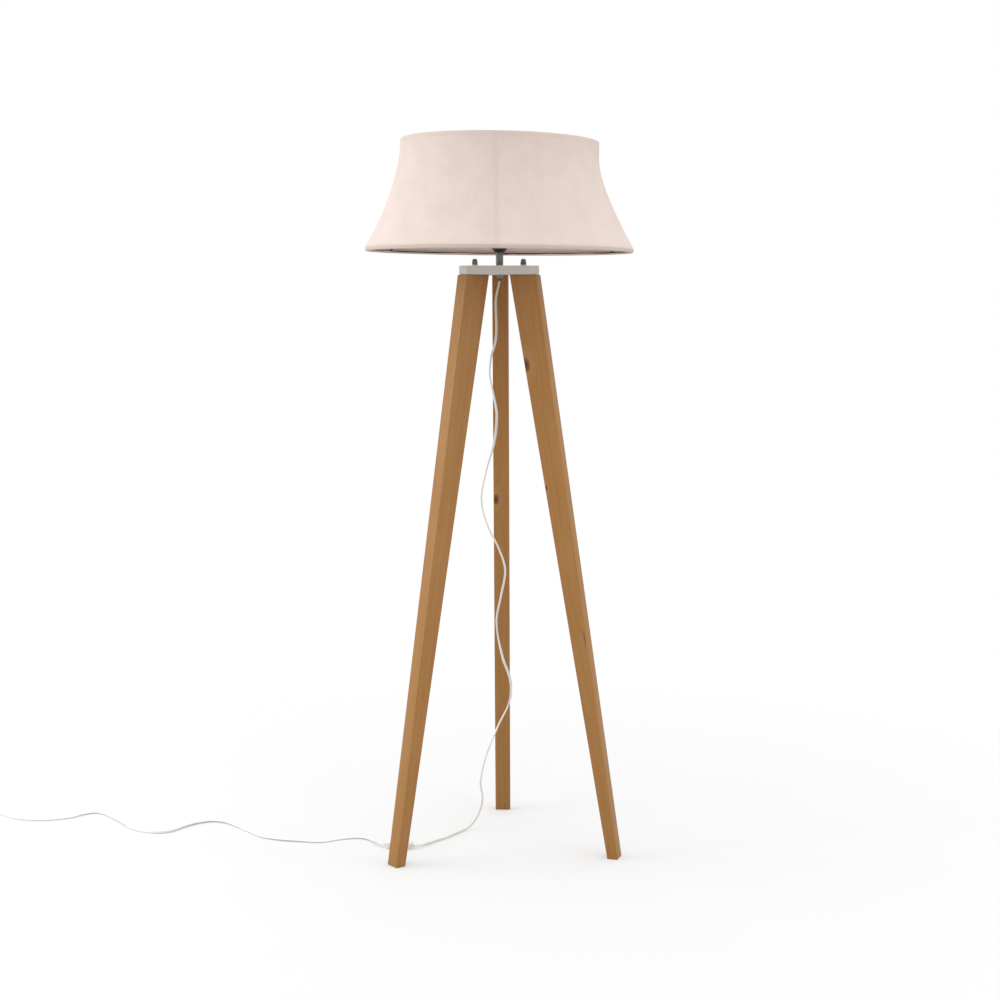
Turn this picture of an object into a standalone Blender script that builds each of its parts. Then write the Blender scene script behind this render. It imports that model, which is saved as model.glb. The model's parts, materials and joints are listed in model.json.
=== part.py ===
"""Tripod floor lamp: three tapered wooden legs bolted under a small three-cornered plate, a short
steel stem with a screw lampholder, a round flared fabric shade on a wire frame, and a flat lead
with an in-line rocker switch and a two-pin plug.

Metres, +Z up. The origin is on the floor, under the stem's axis. The plate's long side faces -Y.
"""
import math

import bmesh
import bpy
from mathutils import Matrix, Vector
from mathutils.geometry import interpolate_bezier

# Gap left between two pieces that touch
GAP = 0.0003
# Room around a piece that passes through a hole
CLEARANCE = 0.0003

# Top plate: a triangle with its three corners cut off
PLATE_UNDERSIDE = 1.200
PLATE_THICKNESS = 0.018
PLATE_LONG_SIDE = 0.130
PLATE_SHORT_SIDE = 0.033
PLATE_TOP = PLATE_UNDERSIDE + PLATE_THICKNESS
BOLT_CIRCLE_RADIUS = 0.057

# Legs: boards that taper in depth only, each turned a little about its own bolt
LEGS = {"left": (210.0, 8.5), "right": (330.0, 13.2), "rear": (90.0, 0.0)}
LEG_THICKNESS = 0.033
LEG_TOP_OUTER = 0.0315
LEG_TOP_INNER = -0.0245
LEG_FOOT_OUTER = 0.2115
LEG_FOOT_INNER = 0.1890
LEG_EDGE_ROUNDING = 0.0012

# Leg fixings: M6 hanger bolts, washers and cap nuts
BOLT_DIAMETER = 0.006
BOLT_DEPTH_IN_LEG = 0.045
WASHER_DIAMETER = 0.013
WASHER_THICKNESS = 0.0016
CAP_NUT_ACROSS_FLATS = 0.010
CAP_NUT_HEX_HEIGHT = 0.0055
CAP_NUT_HEIGHT = 0.012
BOLT_ABOVE_WASHER = 0.009

# Stem: a sleeve tube on a hollow M10 nipple that runs from under the plate into the lampholder
STEM_DIAMETER = 0.015
STEM_WALL = 0.0015
STEM_TOP = 1.245
NIPPLE_DIAMETER = 0.010
NIPPLE_BORE = 0.0076
NIPPLE_BOTTOM = 1.1925
NIPPLE_TOP = 1.2535
BUSH_SHANK = 0.012
LOCK_NUT_ACROSS_FLATS = 0.014
LOCK_NUT_THICKNESS = 0.003

# Lampholder: a domed cap, a threaded barrel, and an insert that carries the contacts
HOLDER_DIAMETER = 0.038
HOLDER_WALL = 0.0022
HOLDER_CAP_TOP = 1.274
HOLDER_BARREL_TOP = 1.312
BARREL_BORE = 0.0276
INSERT_BOTTOM = 1.2605
INSERT_TOP = 1.2735

# Shade: cover, wire frame, and the carrier ring that the lampholder's two ring nuts clamp
SHADE_TOP = 1.4705
SHADE_BOTTOM = 1.246
SHADE_TOP_RADIUS = 0.2025
SHADE_BOTTOM_RADIUS = 0.2755
SHADE_HEM = 0.0055
SHADE_FLARE_POWER = 1.75
COVER_WALL = 0.0016
SHADE_SEGMENTS = 48
RING_WIRE = 0.004
STRUT_WIRE = 0.003
STRUT_COUNT = 6
ARM_COUNT = 3
STRUT_AZIMUTH = 270.0
ARM_AZIMUTH = 90.0
TOP_RING_DROP = 0.0030
BOTTOM_RING_LIFT = 0.0038
TOP_RING_ROOM = 0.0005
STRUT_ROOM = 0.0012
# Room for the flats between a faceted ring's corners
RING_FACET_ROOM = 0.0013
CARRIER_BOTTOM = 1.2905
CARRIER_THICKNESS = 0.0025
CARRIER_BORE = 0.0400
CARRIER_DIAMETER = 0.062
RING_NUT_DIAMETER = 0.058
RING_NUT_THICKNESS = 0.0055

# Bulb: E27 cap and a round-headed glass
BULB_TIP = 1.2795
BULB_CAP_DIAMETER = 0.0262
BULB_CAP_TOP = 1.3075
BULB_DIAMETER = 0.060
BULB_TOP = 1.3875

# Lead: flat two-core, 5.6 mm wide, drawn here as a round tube of its width
LEAD_DIAMETER = 0.0056
LEAD_ON_FLOOR = 0.0030
HANGING_ROUTE = [
    (0.0000, 0.0000, 1.1872), (-0.0014, 0.0002, 1.1800), (-0.0040, 0.0004, 1.1700),
    (-0.0064, 0.0008, 1.1580), (-0.0080, 0.0013, 1.1450), (-0.0074, 0.0024, 1.1210),
    (-0.0064, 0.0040, 1.0930), (-0.0072, 0.0052, 1.0750), (-0.0098, 0.0062, 1.0580),
    (-0.0170, 0.0078, 1.0350), (-0.0204, 0.0100, 0.9950), (-0.0120, 0.0133, 0.9500),
    (-0.0062, 0.0164, 0.9093), (-0.0121, 0.0206, 0.8526), (-0.0285, 0.0249, 0.7935),
    (-0.0389, 0.0295, 0.7340), (-0.0275, 0.0346, 0.6805), (-0.0025, 0.0402, 0.6267),
    (0.0106, 0.0448, 0.5812), (0.0016, 0.0498, 0.5246), (-0.0082, 0.0551, 0.4675),
    (0.0038, 0.0630, 0.3924), (0.0214, 0.0691, 0.3366), (0.0195, 0.0737, 0.2918),
    (-0.0057, 0.0790, 0.2354), (-0.0260, 0.0836, 0.1854), (-0.0366, 0.0875, 0.1488),
    (-0.0441, 0.0938, 0.1091), (-0.0431, 0.0962, 0.0928), (-0.0402, 0.0990, 0.0741),
    (-0.0419, 0.1020, 0.0553), (-0.0476, 0.1035, 0.0369), (-0.0571, 0.1030, 0.0190),
    (-0.0676, 0.0980, 0.0076), (-0.0790, 0.0850, LEAD_ON_FLOOR),
    (-0.1158, 0.0271, LEAD_ON_FLOOR), (-0.1397, 0.0007, LEAD_ON_FLOOR),
    (-0.1480, -0.0110, 0.0032), (-0.1670, -0.0355, 0.0059), (-0.1791, -0.0414, 0.0072),
]
FLOOR_ROUTE = [
    (-0.2405, -0.0374, 0.0072), (-0.2490, -0.0330, 0.0070), (-0.2590, -0.0165, 0.0056),
    (-0.2700, -0.0010, 0.0038), (-0.2840, 0.0145, LEAD_ON_FLOOR),
    (-0.3024, 0.0218, LEAD_ON_FLOOR), (-0.3407, 0.0129, LEAD_ON_FLOOR),
    (-0.3775, -0.0070, LEAD_ON_FLOOR), (-0.4202, -0.0055, LEAD_ON_FLOOR),
    (-0.4710, 0.0040, LEAD_ON_FLOOR), (-0.5103, 0.0231, LEAD_ON_FLOOR),
    (-0.5507, 0.0653, LEAD_ON_FLOOR), (-0.5884, 0.1065, LEAD_ON_FLOOR),
    (-0.6158, 0.1264, LEAD_ON_FLOOR), (-0.6441, 0.1307, LEAD_ON_FLOOR),
    (-0.6790, 0.1070, LEAD_ON_FLOOR), (-0.7181, 0.0523, LEAD_ON_FLOOR),
    (-0.7443, 0.0451, LEAD_ON_FLOOR), (-0.7801, 0.0554, LEAD_ON_FLOOR),
    (-0.8151, 0.0841, LEAD_ON_FLOOR), (-0.8771, 0.1620, LEAD_ON_FLOOR),
    (-0.8999, 0.1828, LEAD_ON_FLOOR), (-0.9183, 0.1875, LEAD_ON_FLOOR),
    (-0.9429, 0.1715, LEAD_ON_FLOOR), (-0.9629, 0.1488, LEAD_ON_FLOOR),
    (-1.0185, 0.1290, LEAD_ON_FLOOR), (-1.0801, 0.1392, LEAD_ON_FLOOR),
    (-1.1135, 0.1632, LEAD_ON_FLOOR), (-1.1330, 0.1780, LEAD_ON_FLOOR),
]
TAIL_ROUTE = [
    (-1.1867, 0.1288, LEAD_ON_FLOOR), (-1.1828, 0.1180, 0.0034),
    (-1.1804, 0.1040, 0.0060), (-1.1800, 0.0908, 0.0070),
]
LEAD_STEP = 0.028
# Room for the tilt of the lead's end face
LEAD_END_ROOM = 0.0013

# Coil of spare lead
COIL_CENTRE = (-1.1700, 0.1650)
COIL_INNER_RADIUS = 0.0235
COIL_OUTER_RADIUS = 0.0365
COIL_HEIGHT = 0.0110
COIL_ABOVE_FLOOR = 0.0002

# In-line switch
SWITCH_CENTRE = (-0.2098, -0.0395)
SWITCH_TURN = 176.0
SWITCH_LENGTH = 0.058
SWITCH_WIDTH = 0.021
SWITCH_HEIGHT = 0.0145
SWITCH_SPLIT = 0.0068
SWITCH_WALL = 0.0018
SWITCH_END_WALL = 0.0050
SWITCH_CORNER = 0.0085
SWITCH_ABOVE_FLOOR = 0.0003
TERMINAL_OFFSET = 0.012
TERMINAL_HEIGHT = 0.0045
ROCKER_LENGTH = 0.020
ROCKER_WIDTH = 0.0095
ROCKER_TILT = 7.0
ROCKER_PIVOT_HEIGHT = 0.0105

# Plug: flat two-pin
PLUG_FRONT = (-1.1800, 0.0354)
PLUG_TURN = 270.0
PLUG_WIDTH = 0.0353
PLUG_THICKNESS = 0.0137
PLUG_LENGTH = 0.036
PLUG_CORNER = 0.009
PLUG_ABOVE_FLOOR = 0.0002
RELIEF_LENGTH = 0.018
RELIEF_ROOT_RADIUS = 0.0052
RELIEF_END_RADIUS = 0.0036
PIN_DIAMETER = 0.004
PIN_LENGTH = 0.019
PIN_SPACING = 0.0182

MATERIALS = {
    "stained_pine": ((0.42, 0.22, 0.09), 0.55, 0.0),
    "plate_paint": ((0.80, 0.79, 0.77), 0.50, 0.0),
    "steel": ((0.45, 0.44, 0.43), 0.38, 1.0),
    "brass": ((0.40, 0.33, 0.22), 0.40, 1.0),
    "black_plastic": ((0.015, 0.015, 0.016), 0.40, 0.0),
    "insulator": ((0.80, 0.78, 0.74), 0.50, 0.0),
    "linen": ((0.82, 0.70, 0.63), 0.90, 0.0),
    "black_wire": ((0.03, 0.03, 0.03), 0.45, 0.0),
    "white_wire": ((0.75, 0.74, 0.72), 0.45, 0.0),
    "bulb_glass": ((0.93, 0.93, 0.91), 0.25, 0.0),
    "bulb_cap": ((0.62, 0.61, 0.58), 0.35, 1.0),
    "white_lead": ((0.85, 0.85, 0.83), 0.45, 0.0),
    "white_plastic": ((0.86, 0.86, 0.84), 0.40, 0.0),
    "grey_plastic": ((0.20, 0.20, 0.18), 0.50, 0.0),
    "pin_metal": ((0.66, 0.64, 0.60), 0.30, 1.0),
}


def clear_scene():
    """Start from an empty scene."""
    for item in list(bpy.data.objects):
        bpy.data.objects.remove(item, do_unlink=True)


def material(name):
    """The named material, made once and shared."""
    if name in bpy.data.materials:
        return bpy.data.materials[name]
    colour, roughness, metallic = MATERIALS[name]
    made = bpy.data.materials.new(name)
    made.use_nodes = True
    shader = made.node_tree.nodes["Principled BSDF"]
    shader.inputs["Base Color"].default_value = (*colour, 1.0)
    shader.inputs["Roughness"].default_value = roughness
    shader.inputs["Metallic"].default_value = metallic
    return made


def add_object(name, data, finish):
    """Put a mesh or a curve in the scene with its material."""
    thing = bpy.data.objects.new(name, data)
    thing.data.materials.append(material(finish))
    bpy.context.scene.collection.objects.link(thing)
    return thing


def add_mesh(name, shape, finish, smooth_angle=None):
    """Turn a bmesh into an object, with its faces pointing outwards."""
    bmesh.ops.recalc_face_normals(shape, faces=shape.faces)
    mesh = bpy.data.meshes.new(name)
    shape.to_mesh(mesh)
    shape.free()
    if smooth_angle is not None:
        mesh.shade_smooth()
        mesh.set_sharp_from_angle(angle=math.radians(smooth_angle))
    return add_object(name, mesh, finish)


def turned(profile, segments=28, closed=True):
    """A bmesh turned about Z from (radius, height) points; a closed profile leaves a bore."""
    shape = bmesh.new()
    points = [shape.verts.new((radius, 0.0, height)) for radius, height in profile]
    edges = [shape.edges.new(pair) for pair in zip(points, points[1:])]
    if closed:
        edges.append(shape.edges.new((points[-1], points[0])))
    bmesh.ops.spin(shape, geom=points + edges, cent=(0.0, 0.0, 0.0), axis=(0.0, 0.0, 1.0),
                   angle=2.0 * math.pi, steps=segments, use_merge=True)
    bmesh.ops.remove_doubles(shape, verts=shape.verts, dist=0.00001)
    return shape


def prism(outline, bottom, top):
    """A bmesh with a flat outline raised from bottom to top."""
    shape = bmesh.new()
    base = shape.faces.new([shape.verts.new((x, y, bottom)) for x, y in outline])
    raised = bmesh.ops.extrude_face_region(shape, geom=[base])
    moved = [item for item in raised["geom"] if isinstance(item, bmesh.types.BMVert)]
    bmesh.ops.translate(shape, verts=moved, vec=(0.0, 0.0, top - bottom))
    return shape


def polygon(count, radius, turn=0.0):
    """Corner points of a regular polygon."""
    steps = [turn + 2.0 * math.pi * index / count for index in range(count)]
    return [(radius * math.cos(step), radius * math.sin(step)) for step in steps]


def combine(target, shape, operation="DIFFERENCE"):
    """Cut a bmesh drawn in the object's own axes out of the object, or join it on with UNION."""
    bmesh.ops.recalc_face_normals(shape, faces=shape.faces)
    mesh = bpy.data.meshes.new(target.name + "_tool")
    shape.to_mesh(mesh)
    shape.free()
    tool = bpy.data.objects.new(mesh.name, mesh)
    bpy.context.scene.collection.objects.link(tool)
    tool.matrix_world = target.matrix_world.copy()
    tool.hide_render = True
    tool.display_type = "WIRE"
    step = target.modifiers.new("tool", "BOOLEAN")
    step.operation = operation
    step.solver = "EXACT"
    step.object = tool


def drill(target, diameter, bottom, top, place=(0.0, 0.0), sides=20):
    """Cut an upright round hole, given in the object's own axes."""
    hole = prism(polygon(sides, 0.5 * diameter), bottom, top)
    bmesh.ops.translate(hole, verts=hole.verts, vec=(place[0], place[1], 0.0))
    combine(target, hole)


def round_edges(target, width, segments=1):
    """Bevel an object's sharp edges."""
    bevel = target.modifiers.new("edges", "BEVEL")
    bevel.width = width
    bevel.segments = segments
    bevel.limit_method = "ANGLE"
    bevel.angle_limit = math.radians(40.0)


def stand(thing, place, turn=0.0):
    """Place an object and turn it about Z, in degrees."""
    thing.matrix_world = Matrix.Translation(place) @ Matrix.Rotation(math.radians(turn), 4, "Z")


def polar(radius, degrees, height=0.0):
    """A point at a radius and an azimuth."""
    angle = math.radians(degrees)
    return Vector((radius * math.cos(angle), radius * math.sin(angle), height))


def plate_outline():
    """Six corners of the plate: three long sides and three short ones."""
    full_side = PLATE_LONG_SIDE + 2.0 * PLATE_SHORT_SIDE
    front = -full_side * math.sqrt(3.0) / 6.0
    corners = []
    for turn in (0.0, 120.0, 240.0):
        rotate = Matrix.Rotation(math.radians(turn), 2)
        for x in (-0.5 * PLATE_LONG_SIDE, 0.5 * PLATE_LONG_SIDE):
            corner = rotate @ Vector((x, front))
            corners.append((corner.x, corner.y))
    return corners


def make_plate():
    """Painted top plate with three bolt holes and a hole for the nipple."""
    plate = add_mesh("top_plate", prism(plate_outline(), PLATE_UNDERSIDE, PLATE_TOP), "plate_paint")
    round_edges(plate, 0.0006)
    below, above = PLATE_UNDERSIDE - 0.01, PLATE_TOP + 0.01
    drill(plate, NIPPLE_DIAMETER + 2.0 * CLEARANCE, below, above)
    for azimuth, _turn in LEGS.values():
        place = polar(BOLT_CIRCLE_RADIUS, azimuth)
        drill(plate, BOLT_DIAMETER + 2.0 * CLEARANCE, below, above, (place.x, place.y), 16)


def make_leg(side):
    """One leg, in axes whose origin is on its bolt at the plate's underside, +X outwards."""
    azimuth, turn = LEGS[side]
    top = -GAP
    shape = bmesh.new()
    ends = ((top, LEG_TOP_INNER, LEG_TOP_OUTER), (-PLATE_UNDERSIDE, LEG_FOOT_INNER, LEG_FOOT_OUTER))
    half = 0.5 * LEG_THICKNESS
    rings = []
    for height, inner, outer in ends:
        corners = ((inner, -half), (outer, -half), (outer, half), (inner, half))
        rings.append([shape.verts.new((x, y, height)) for x, y in corners])
        shape.faces.new(rings[-1])
    for index in range(4):
        following = (index + 1) % 4
        shape.faces.new((rings[0][index], rings[0][following], rings[1][following], rings[1][index]))
    leg = add_mesh("leg_" + side, shape, "stained_pine")
    stand(leg, polar(BOLT_CIRCLE_RADIUS, azimuth, PLATE_UNDERSIDE), azimuth + turn)
    round_edges(leg, LEG_EDGE_ROUNDING, 2)
    drill(leg, BOLT_DIAMETER + 2.0 * CLEARANCE, -BOLT_DEPTH_IN_LEG, 0.01, sides=16)


def make_leg_fixings(side):
    """Hanger bolt, washer and cap nut that hold one leg to the plate."""
    azimuth, turn = LEGS[side]
    place = polar(BOLT_CIRCLE_RADIUS, azimuth)
    thread_top = PLATE_TOP + WASHER_THICKNESS + BOLT_ABOVE_WASHER
    bolt_bottom = PLATE_UNDERSIDE - BOLT_DEPTH_IN_LEG + 2.0 * GAP
    bolt = add_mesh("hanger_bolt_" + side,
                    prism(polygon(16, 0.5 * BOLT_DIAMETER), bolt_bottom, thread_top), "steel", 40)
    stand(bolt, place)

    bore = 0.5 * BOLT_DIAMETER + CLEARANCE
    bottom = PLATE_TOP + GAP
    top = bottom + WASHER_THICKNESS
    outer = 0.5 * WASHER_DIAMETER
    washer = add_mesh("washer_" + side,
                      turned([(bore, bottom), (outer, bottom), (outer, top), (bore, top)], 20),
                      "steel", 40)
    stand(washer, place)

    bottom = top + GAP
    hex_top = bottom + CAP_NUT_HEX_HEIGHT
    corner = 0.5 * CAP_NUT_ACROSS_FLATS / math.cos(math.pi / 6.0)
    nut = add_mesh("cap_nut_" + side, prism(polygon(6, corner), bottom, hex_top), "brass", 40)
    stand(nut, place, azimuth + turn)
    crown = bottom + CAP_NUT_HEIGHT
    dome_radius = 0.46 * CAP_NUT_ACROSS_FLATS
    dome_foot = bottom + 0.001
    dome_steps = 5
    dome = [(0.0, dome_foot), (dome_radius, dome_foot)]
    for step in range(dome_steps):
        angle = 0.5 * math.pi * step / dome_steps
        dome.append((dome_radius * math.cos(angle), hex_top + (crown - hex_top) * math.sin(angle)))
    dome.append((0.0, crown))
    combine(nut, turned(dome, 20, False), "UNION")
    drill(nut, BOLT_DIAMETER + 2.0 * CLEARANCE, bottom - 0.002, thread_top + 0.0008, sides=12)


def make_stem():
    """Sleeve tube, hollow nipple, lock nut under the plate and the bush the lead leaves by."""
    outer = 0.5 * STEM_DIAMETER
    inner = outer - STEM_WALL
    bottom, top = PLATE_TOP + GAP, STEM_TOP
    add_mesh("stem_tube", turned([(inner, bottom), (outer, bottom), (outer, top), (inner, top)], 28),
             "steel", 40)

    outer, bore = 0.5 * NIPPLE_DIAMETER, 0.5 * NIPPLE_BORE
    add_mesh("stem_nipple", turned([(bore, NIPPLE_BOTTOM), (outer, NIPPLE_BOTTOM),
                                    (outer, NIPPLE_TOP), (bore, NIPPLE_TOP)], 20), "steel", 40)

    top = PLATE_UNDERSIDE - GAP
    corner = 0.5 * LOCK_NUT_ACROSS_FLATS / math.cos(math.pi / 6.0)
    nut = add_mesh("stem_lock_nut", prism(polygon(6, corner, 0.35), top - LOCK_NUT_THICKNESS, top),
                   "steel")
    drill(nut, NIPPLE_DIAMETER + 2.0 * CLEARANCE, top - 0.01, top + 0.01)

    collar = NIPPLE_BOTTOM - GAP
    end = HANGING_ROUTE[0][2] + LEAD_END_ROOM
    shank = 0.5 * NIPPLE_BORE - CLEARANCE
    shank_top = NIPPLE_BOTTOM + BUSH_SHANK
    bush = [(0.0, end), (0.0034, end), (0.0045, collar - 0.0014), (0.0045, collar), (shank, collar),
            (shank, shank_top), (0.0, shank_top)]
    add_mesh("lead_bush", turned(bush, 24, False), "grey_plastic", 40)

    radius = 0.5 * LEAD_DIAMETER
    bottom, top = shank_top + GAP, INSERT_BOTTOM - GAP
    inner_lead = [(0.0, bottom), (radius, bottom), (radius, top), (0.0, top)]
    add_mesh("lead_in_stem", turned(inner_lead, 16, False), "white_lead", 40)


def make_lampholder():
    """Cap, threaded barrel, insert and its two contacts."""
    bore = 0.5 * NIPPLE_DIAMETER + CLEARANCE
    wall = HOLDER_WALL
    bottom = STEM_TOP + GAP
    outside = [(0.0100, bottom), (0.0166, bottom + 0.0088), (0.0184, bottom + 0.0130),
               (0.5 * HOLDER_DIAMETER, bottom + 0.0185), (0.5 * HOLDER_DIAMETER, HOLDER_CAP_TOP)]
    inside = [(0.5 * HOLDER_DIAMETER - wall, HOLDER_CAP_TOP),
              (0.5 * HOLDER_DIAMETER - wall, bottom + 0.0196), (0.0160, bottom + 0.0150),
              (0.0135, bottom + 0.0112), (0.0095, bottom + 0.0062), (bore, bottom + 0.0062)]
    add_mesh("holder_cap", turned([(bore, bottom)] + outside + inside, 28), "black_plastic", 50)

    bottom = HOLDER_CAP_TOP + GAP
    outer, inner = 0.5 * HOLDER_DIAMETER, 0.5 * BARREL_BORE
    add_mesh("holder_barrel", turned([(inner, bottom), (outer, bottom), (outer, HOLDER_BARREL_TOP),
                                      (inner, HOLDER_BARREL_TOP)], 28), "black_plastic", 40)

    radius = 0.5 * HOLDER_DIAMETER - wall - 0.0010
    add_mesh("holder_insert", turned([(0.0, INSERT_BOTTOM), (0.0120, INSERT_BOTTOM),
                                      (radius, INSERT_BOTTOM + 0.0050), (radius, INSERT_TOP),
                                      (0.0, INSERT_TOP)], 20, False), "insulator", 40)

    bottom = INSERT_TOP + GAP
    centre = prism([(-0.0030, -0.0025), (0.0030, -0.0025), (0.0030, 0.0025), (-0.0030, 0.0025)],
                   bottom, BULB_TIP - GAP)
    round_edges(add_mesh("centre_contact", centre, "brass"), 0.0004)
    side = prism([(0.0092, -0.0022), (0.0100, -0.0022), (0.0100, 0.0022), (0.0092, 0.0022)],
                 bottom, bottom + 0.0060)
    add_mesh("side_contact", side, "brass")


def make_bulb():
    """Screw cap, tip contact and glass."""
    insulator_bottom = BULB_TIP + 0.0012
    tip = [(0.0, BULB_TIP), (0.0042, BULB_TIP), (0.0048, insulator_bottom - GAP),
           (0.0, insulator_bottom - GAP)]
    add_mesh("bulb_tip", turned(tip, 20, False), "bulb_cap", 40)
    outer = 0.5 * BULB_CAP_DIAMETER
    cap = [(0.0, insulator_bottom), (0.0060, insulator_bottom), (0.0110, insulator_bottom + 0.0045),
           (outer, insulator_bottom + 0.0062), (outer, BULB_CAP_TOP - 0.001),
           (outer - 0.001, BULB_CAP_TOP), (0.0, BULB_CAP_TOP)]
    add_mesh("bulb_cap", turned(cap, 24, False), "bulb_cap", 40)

    bottom = BULB_CAP_TOP + GAP
    radius = 0.5 * BULB_DIAMETER
    centre = BULB_TOP - radius
    glass = [(0.0, bottom), (0.0122, bottom), (0.0140, bottom + 0.0060)]
    lowest = math.radians(-38.0)
    steps = 10
    for step in range(steps):
        angle = lowest + (0.5 * math.pi - lowest) * step / steps
        glass.append((radius * math.cos(angle), centre + radius * math.sin(angle)))
    glass.append((0.0, BULB_TOP))
    add_mesh("bulb_glass", turned(glass, 24, False), "bulb_glass", 40)


def shade_radius(height):
    """Outside radius of the cover at a height: a power curve that ends in an upright hem."""
    drop = SHADE_TOP - height
    full_drop = SHADE_TOP - SHADE_BOTTOM - SHADE_HEM
    flare = SHADE_BOTTOM_RADIUS - SHADE_TOP_RADIUS
    return SHADE_TOP_RADIUS + flare * min(1.0, drop / full_drop) ** SHADE_FLARE_POWER


def make_shade_cover():
    """Fabric cover: a thin flared tube, open above and below."""
    rows = 9
    hem_top = SHADE_BOTTOM + SHADE_HEM
    heights = [SHADE_TOP - (SHADE_TOP - hem_top) * row / rows for row in range(rows + 1)]
    outside = [(shade_radius(height), height) for height in heights]
    outside.append((SHADE_BOTTOM_RADIUS, SHADE_BOTTOM))
    inside = [(radius - COVER_WALL, height) for radius, height in reversed(outside)]
    add_mesh("shade_cover", turned(outside + inside, SHADE_SEGMENTS), "linen", 40)


def wire_ring(name, radius, height, wire, finish):
    """A closed ring of round wire."""
    section = [(radius + 0.5 * wire * math.cos(step * math.pi / 4.0),
                height + 0.5 * wire * math.sin(step * math.pi / 4.0)) for step in range(8)]
    add_mesh(name, turned(section, SHADE_SEGMENTS), finish, 50)


def tube(name, points, diameter, finish, resolution=2):
    """A round tube with closed ends through a row of points."""
    curve = bpy.data.curves.new(name, "CURVE")
    curve.dimensions = "3D"
    curve.bevel_depth = 0.5 * diameter
    curve.bevel_resolution = resolution
    curve.use_fill_caps = True
    spline = curve.splines.new("POLY")
    spline.points.add(len(points) - 1)
    for target, point in zip(spline.points, points):
        target.co = (*point, 1.0)
    return add_object(name, curve, finish)


def make_shade_frame():
    """Two wire rings, the curved struts between them, and the carrier with its three arms."""
    top_height = SHADE_TOP - TOP_RING_DROP
    bottom_height = SHADE_BOTTOM + BOTTOM_RING_LIFT
    inset = COVER_WALL + 0.5 * RING_WIRE
    top_radius = shade_radius(top_height) - inset - TOP_RING_ROOM
    bottom_radius = shade_radius(SHADE_BOTTOM) - inset - GAP
    wire_ring("shade_ring_top", top_radius, top_height, RING_WIRE, "black_wire")
    wire_ring("shade_ring_bottom", bottom_radius, bottom_height, RING_WIRE, "black_wire")

    upper = top_height - 0.5 * RING_WIRE - 2.0 * GAP
    lower = bottom_height + 0.5 * RING_WIRE + 2.0 * GAP
    strut_inset = COVER_WALL + 0.5 * STRUT_WIRE + STRUT_ROOM
    rows = 7
    for number in range(STRUT_COUNT):
        azimuth = STRUT_AZIMUTH + 360.0 * number / STRUT_COUNT
        points = []
        for row in range(rows + 1):
            height = upper + (lower - upper) * row / rows
            points.append(polar(shade_radius(height) - strut_inset, azimuth, height))
        tube("shade_strut_%d" % (number + 1), points, STRUT_WIRE, "black_wire")

    bore, outer = 0.5 * CARRIER_BORE, 0.5 * CARRIER_DIAMETER
    bottom, top = CARRIER_BOTTOM, CARRIER_BOTTOM + CARRIER_THICKNESS
    add_mesh("carrier_ring", turned([(bore, bottom), (outer, bottom), (outer, top), (bore, top)], 28),
             "black_wire", 40)
    arm_start = outer + 0.5 * STRUT_WIRE + GAP
    arm_end = bottom_radius - 0.5 * RING_WIRE - RING_FACET_ROOM
    middle = 0.5 * (bottom + top)
    for number in range(ARM_COUNT):
        azimuth = ARM_AZIMUTH + 360.0 * number / ARM_COUNT
        points = [polar(arm_start, azimuth, middle), polar(arm_start + 0.02, azimuth, middle),
                  polar(arm_start + 0.045, azimuth, middle - 0.006),
                  polar(arm_end - 0.02, azimuth, bottom_height + 0.004),
                  polar(arm_end, azimuth, bottom_height)]
        tube("carrier_arm_%d" % (number + 1), points, STRUT_WIRE, "black_wire")


def make_ring_nuts():
    """Two threaded rings on the lampholder, below and above the carrier ring."""
    bore = 0.5 * HOLDER_DIAMETER + CLEARANCE
    outer = 0.5 * RING_NUT_DIAMETER
    lower_top = CARRIER_BOTTOM - GAP
    upper_bottom = CARRIER_BOTTOM + CARRIER_THICKNESS + GAP
    spans = {"ring_nut_lower": (lower_top - RING_NUT_THICKNESS, lower_top),
             "ring_nut_upper": (upper_bottom, upper_bottom + RING_NUT_THICKNESS)}
    for name, (bottom, top) in spans.items():
        nut = add_mesh(name, turned([(bore, bottom), (outer, bottom), (outer, top), (bore, top)], 28),
                       "black_plastic", 40)
        round_edges(nut, 0.0006)


def smooth_route(route, step):
    """Evenly spaced points on a smooth curve through a route's own points, none below the floor."""
    route = [Vector(point) for point in route]
    tangents = []
    for index, point in enumerate(route):
        before = route[max(index - 1, 0)]
        after = route[min(index + 1, len(route) - 1)]
        tangents.append((after - before).normalized())
    fine = [route[0]]
    for index in range(len(route) - 1):
        start, end = route[index], route[index + 1]
        reach = (end - start).length / 3.0
        piece = interpolate_bezier(start, start + tangents[index] * reach,
                                   end - tangents[index + 1] * reach, end, 17)
        fine.extend(Vector((x, y, max(z, LEAD_ON_FLOOR))) for x, y, z in piece[1:])
    lengths = [0.0]
    for start, end in zip(fine, fine[1:]):
        lengths.append(lengths[-1] + (end - start).length)
    count = max(2, round(lengths[-1] / step))
    points = []
    segment = 0
    for index in range(count + 1):
        target = lengths[-1] * index / count
        while segment < len(fine) - 2 and lengths[segment + 1] < target:
            segment += 1
        share = (target - lengths[segment]) / (lengths[segment + 1] - lengths[segment])
        points.append(fine[segment].lerp(fine[segment + 1], min(1.0, share)))
    return points


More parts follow.
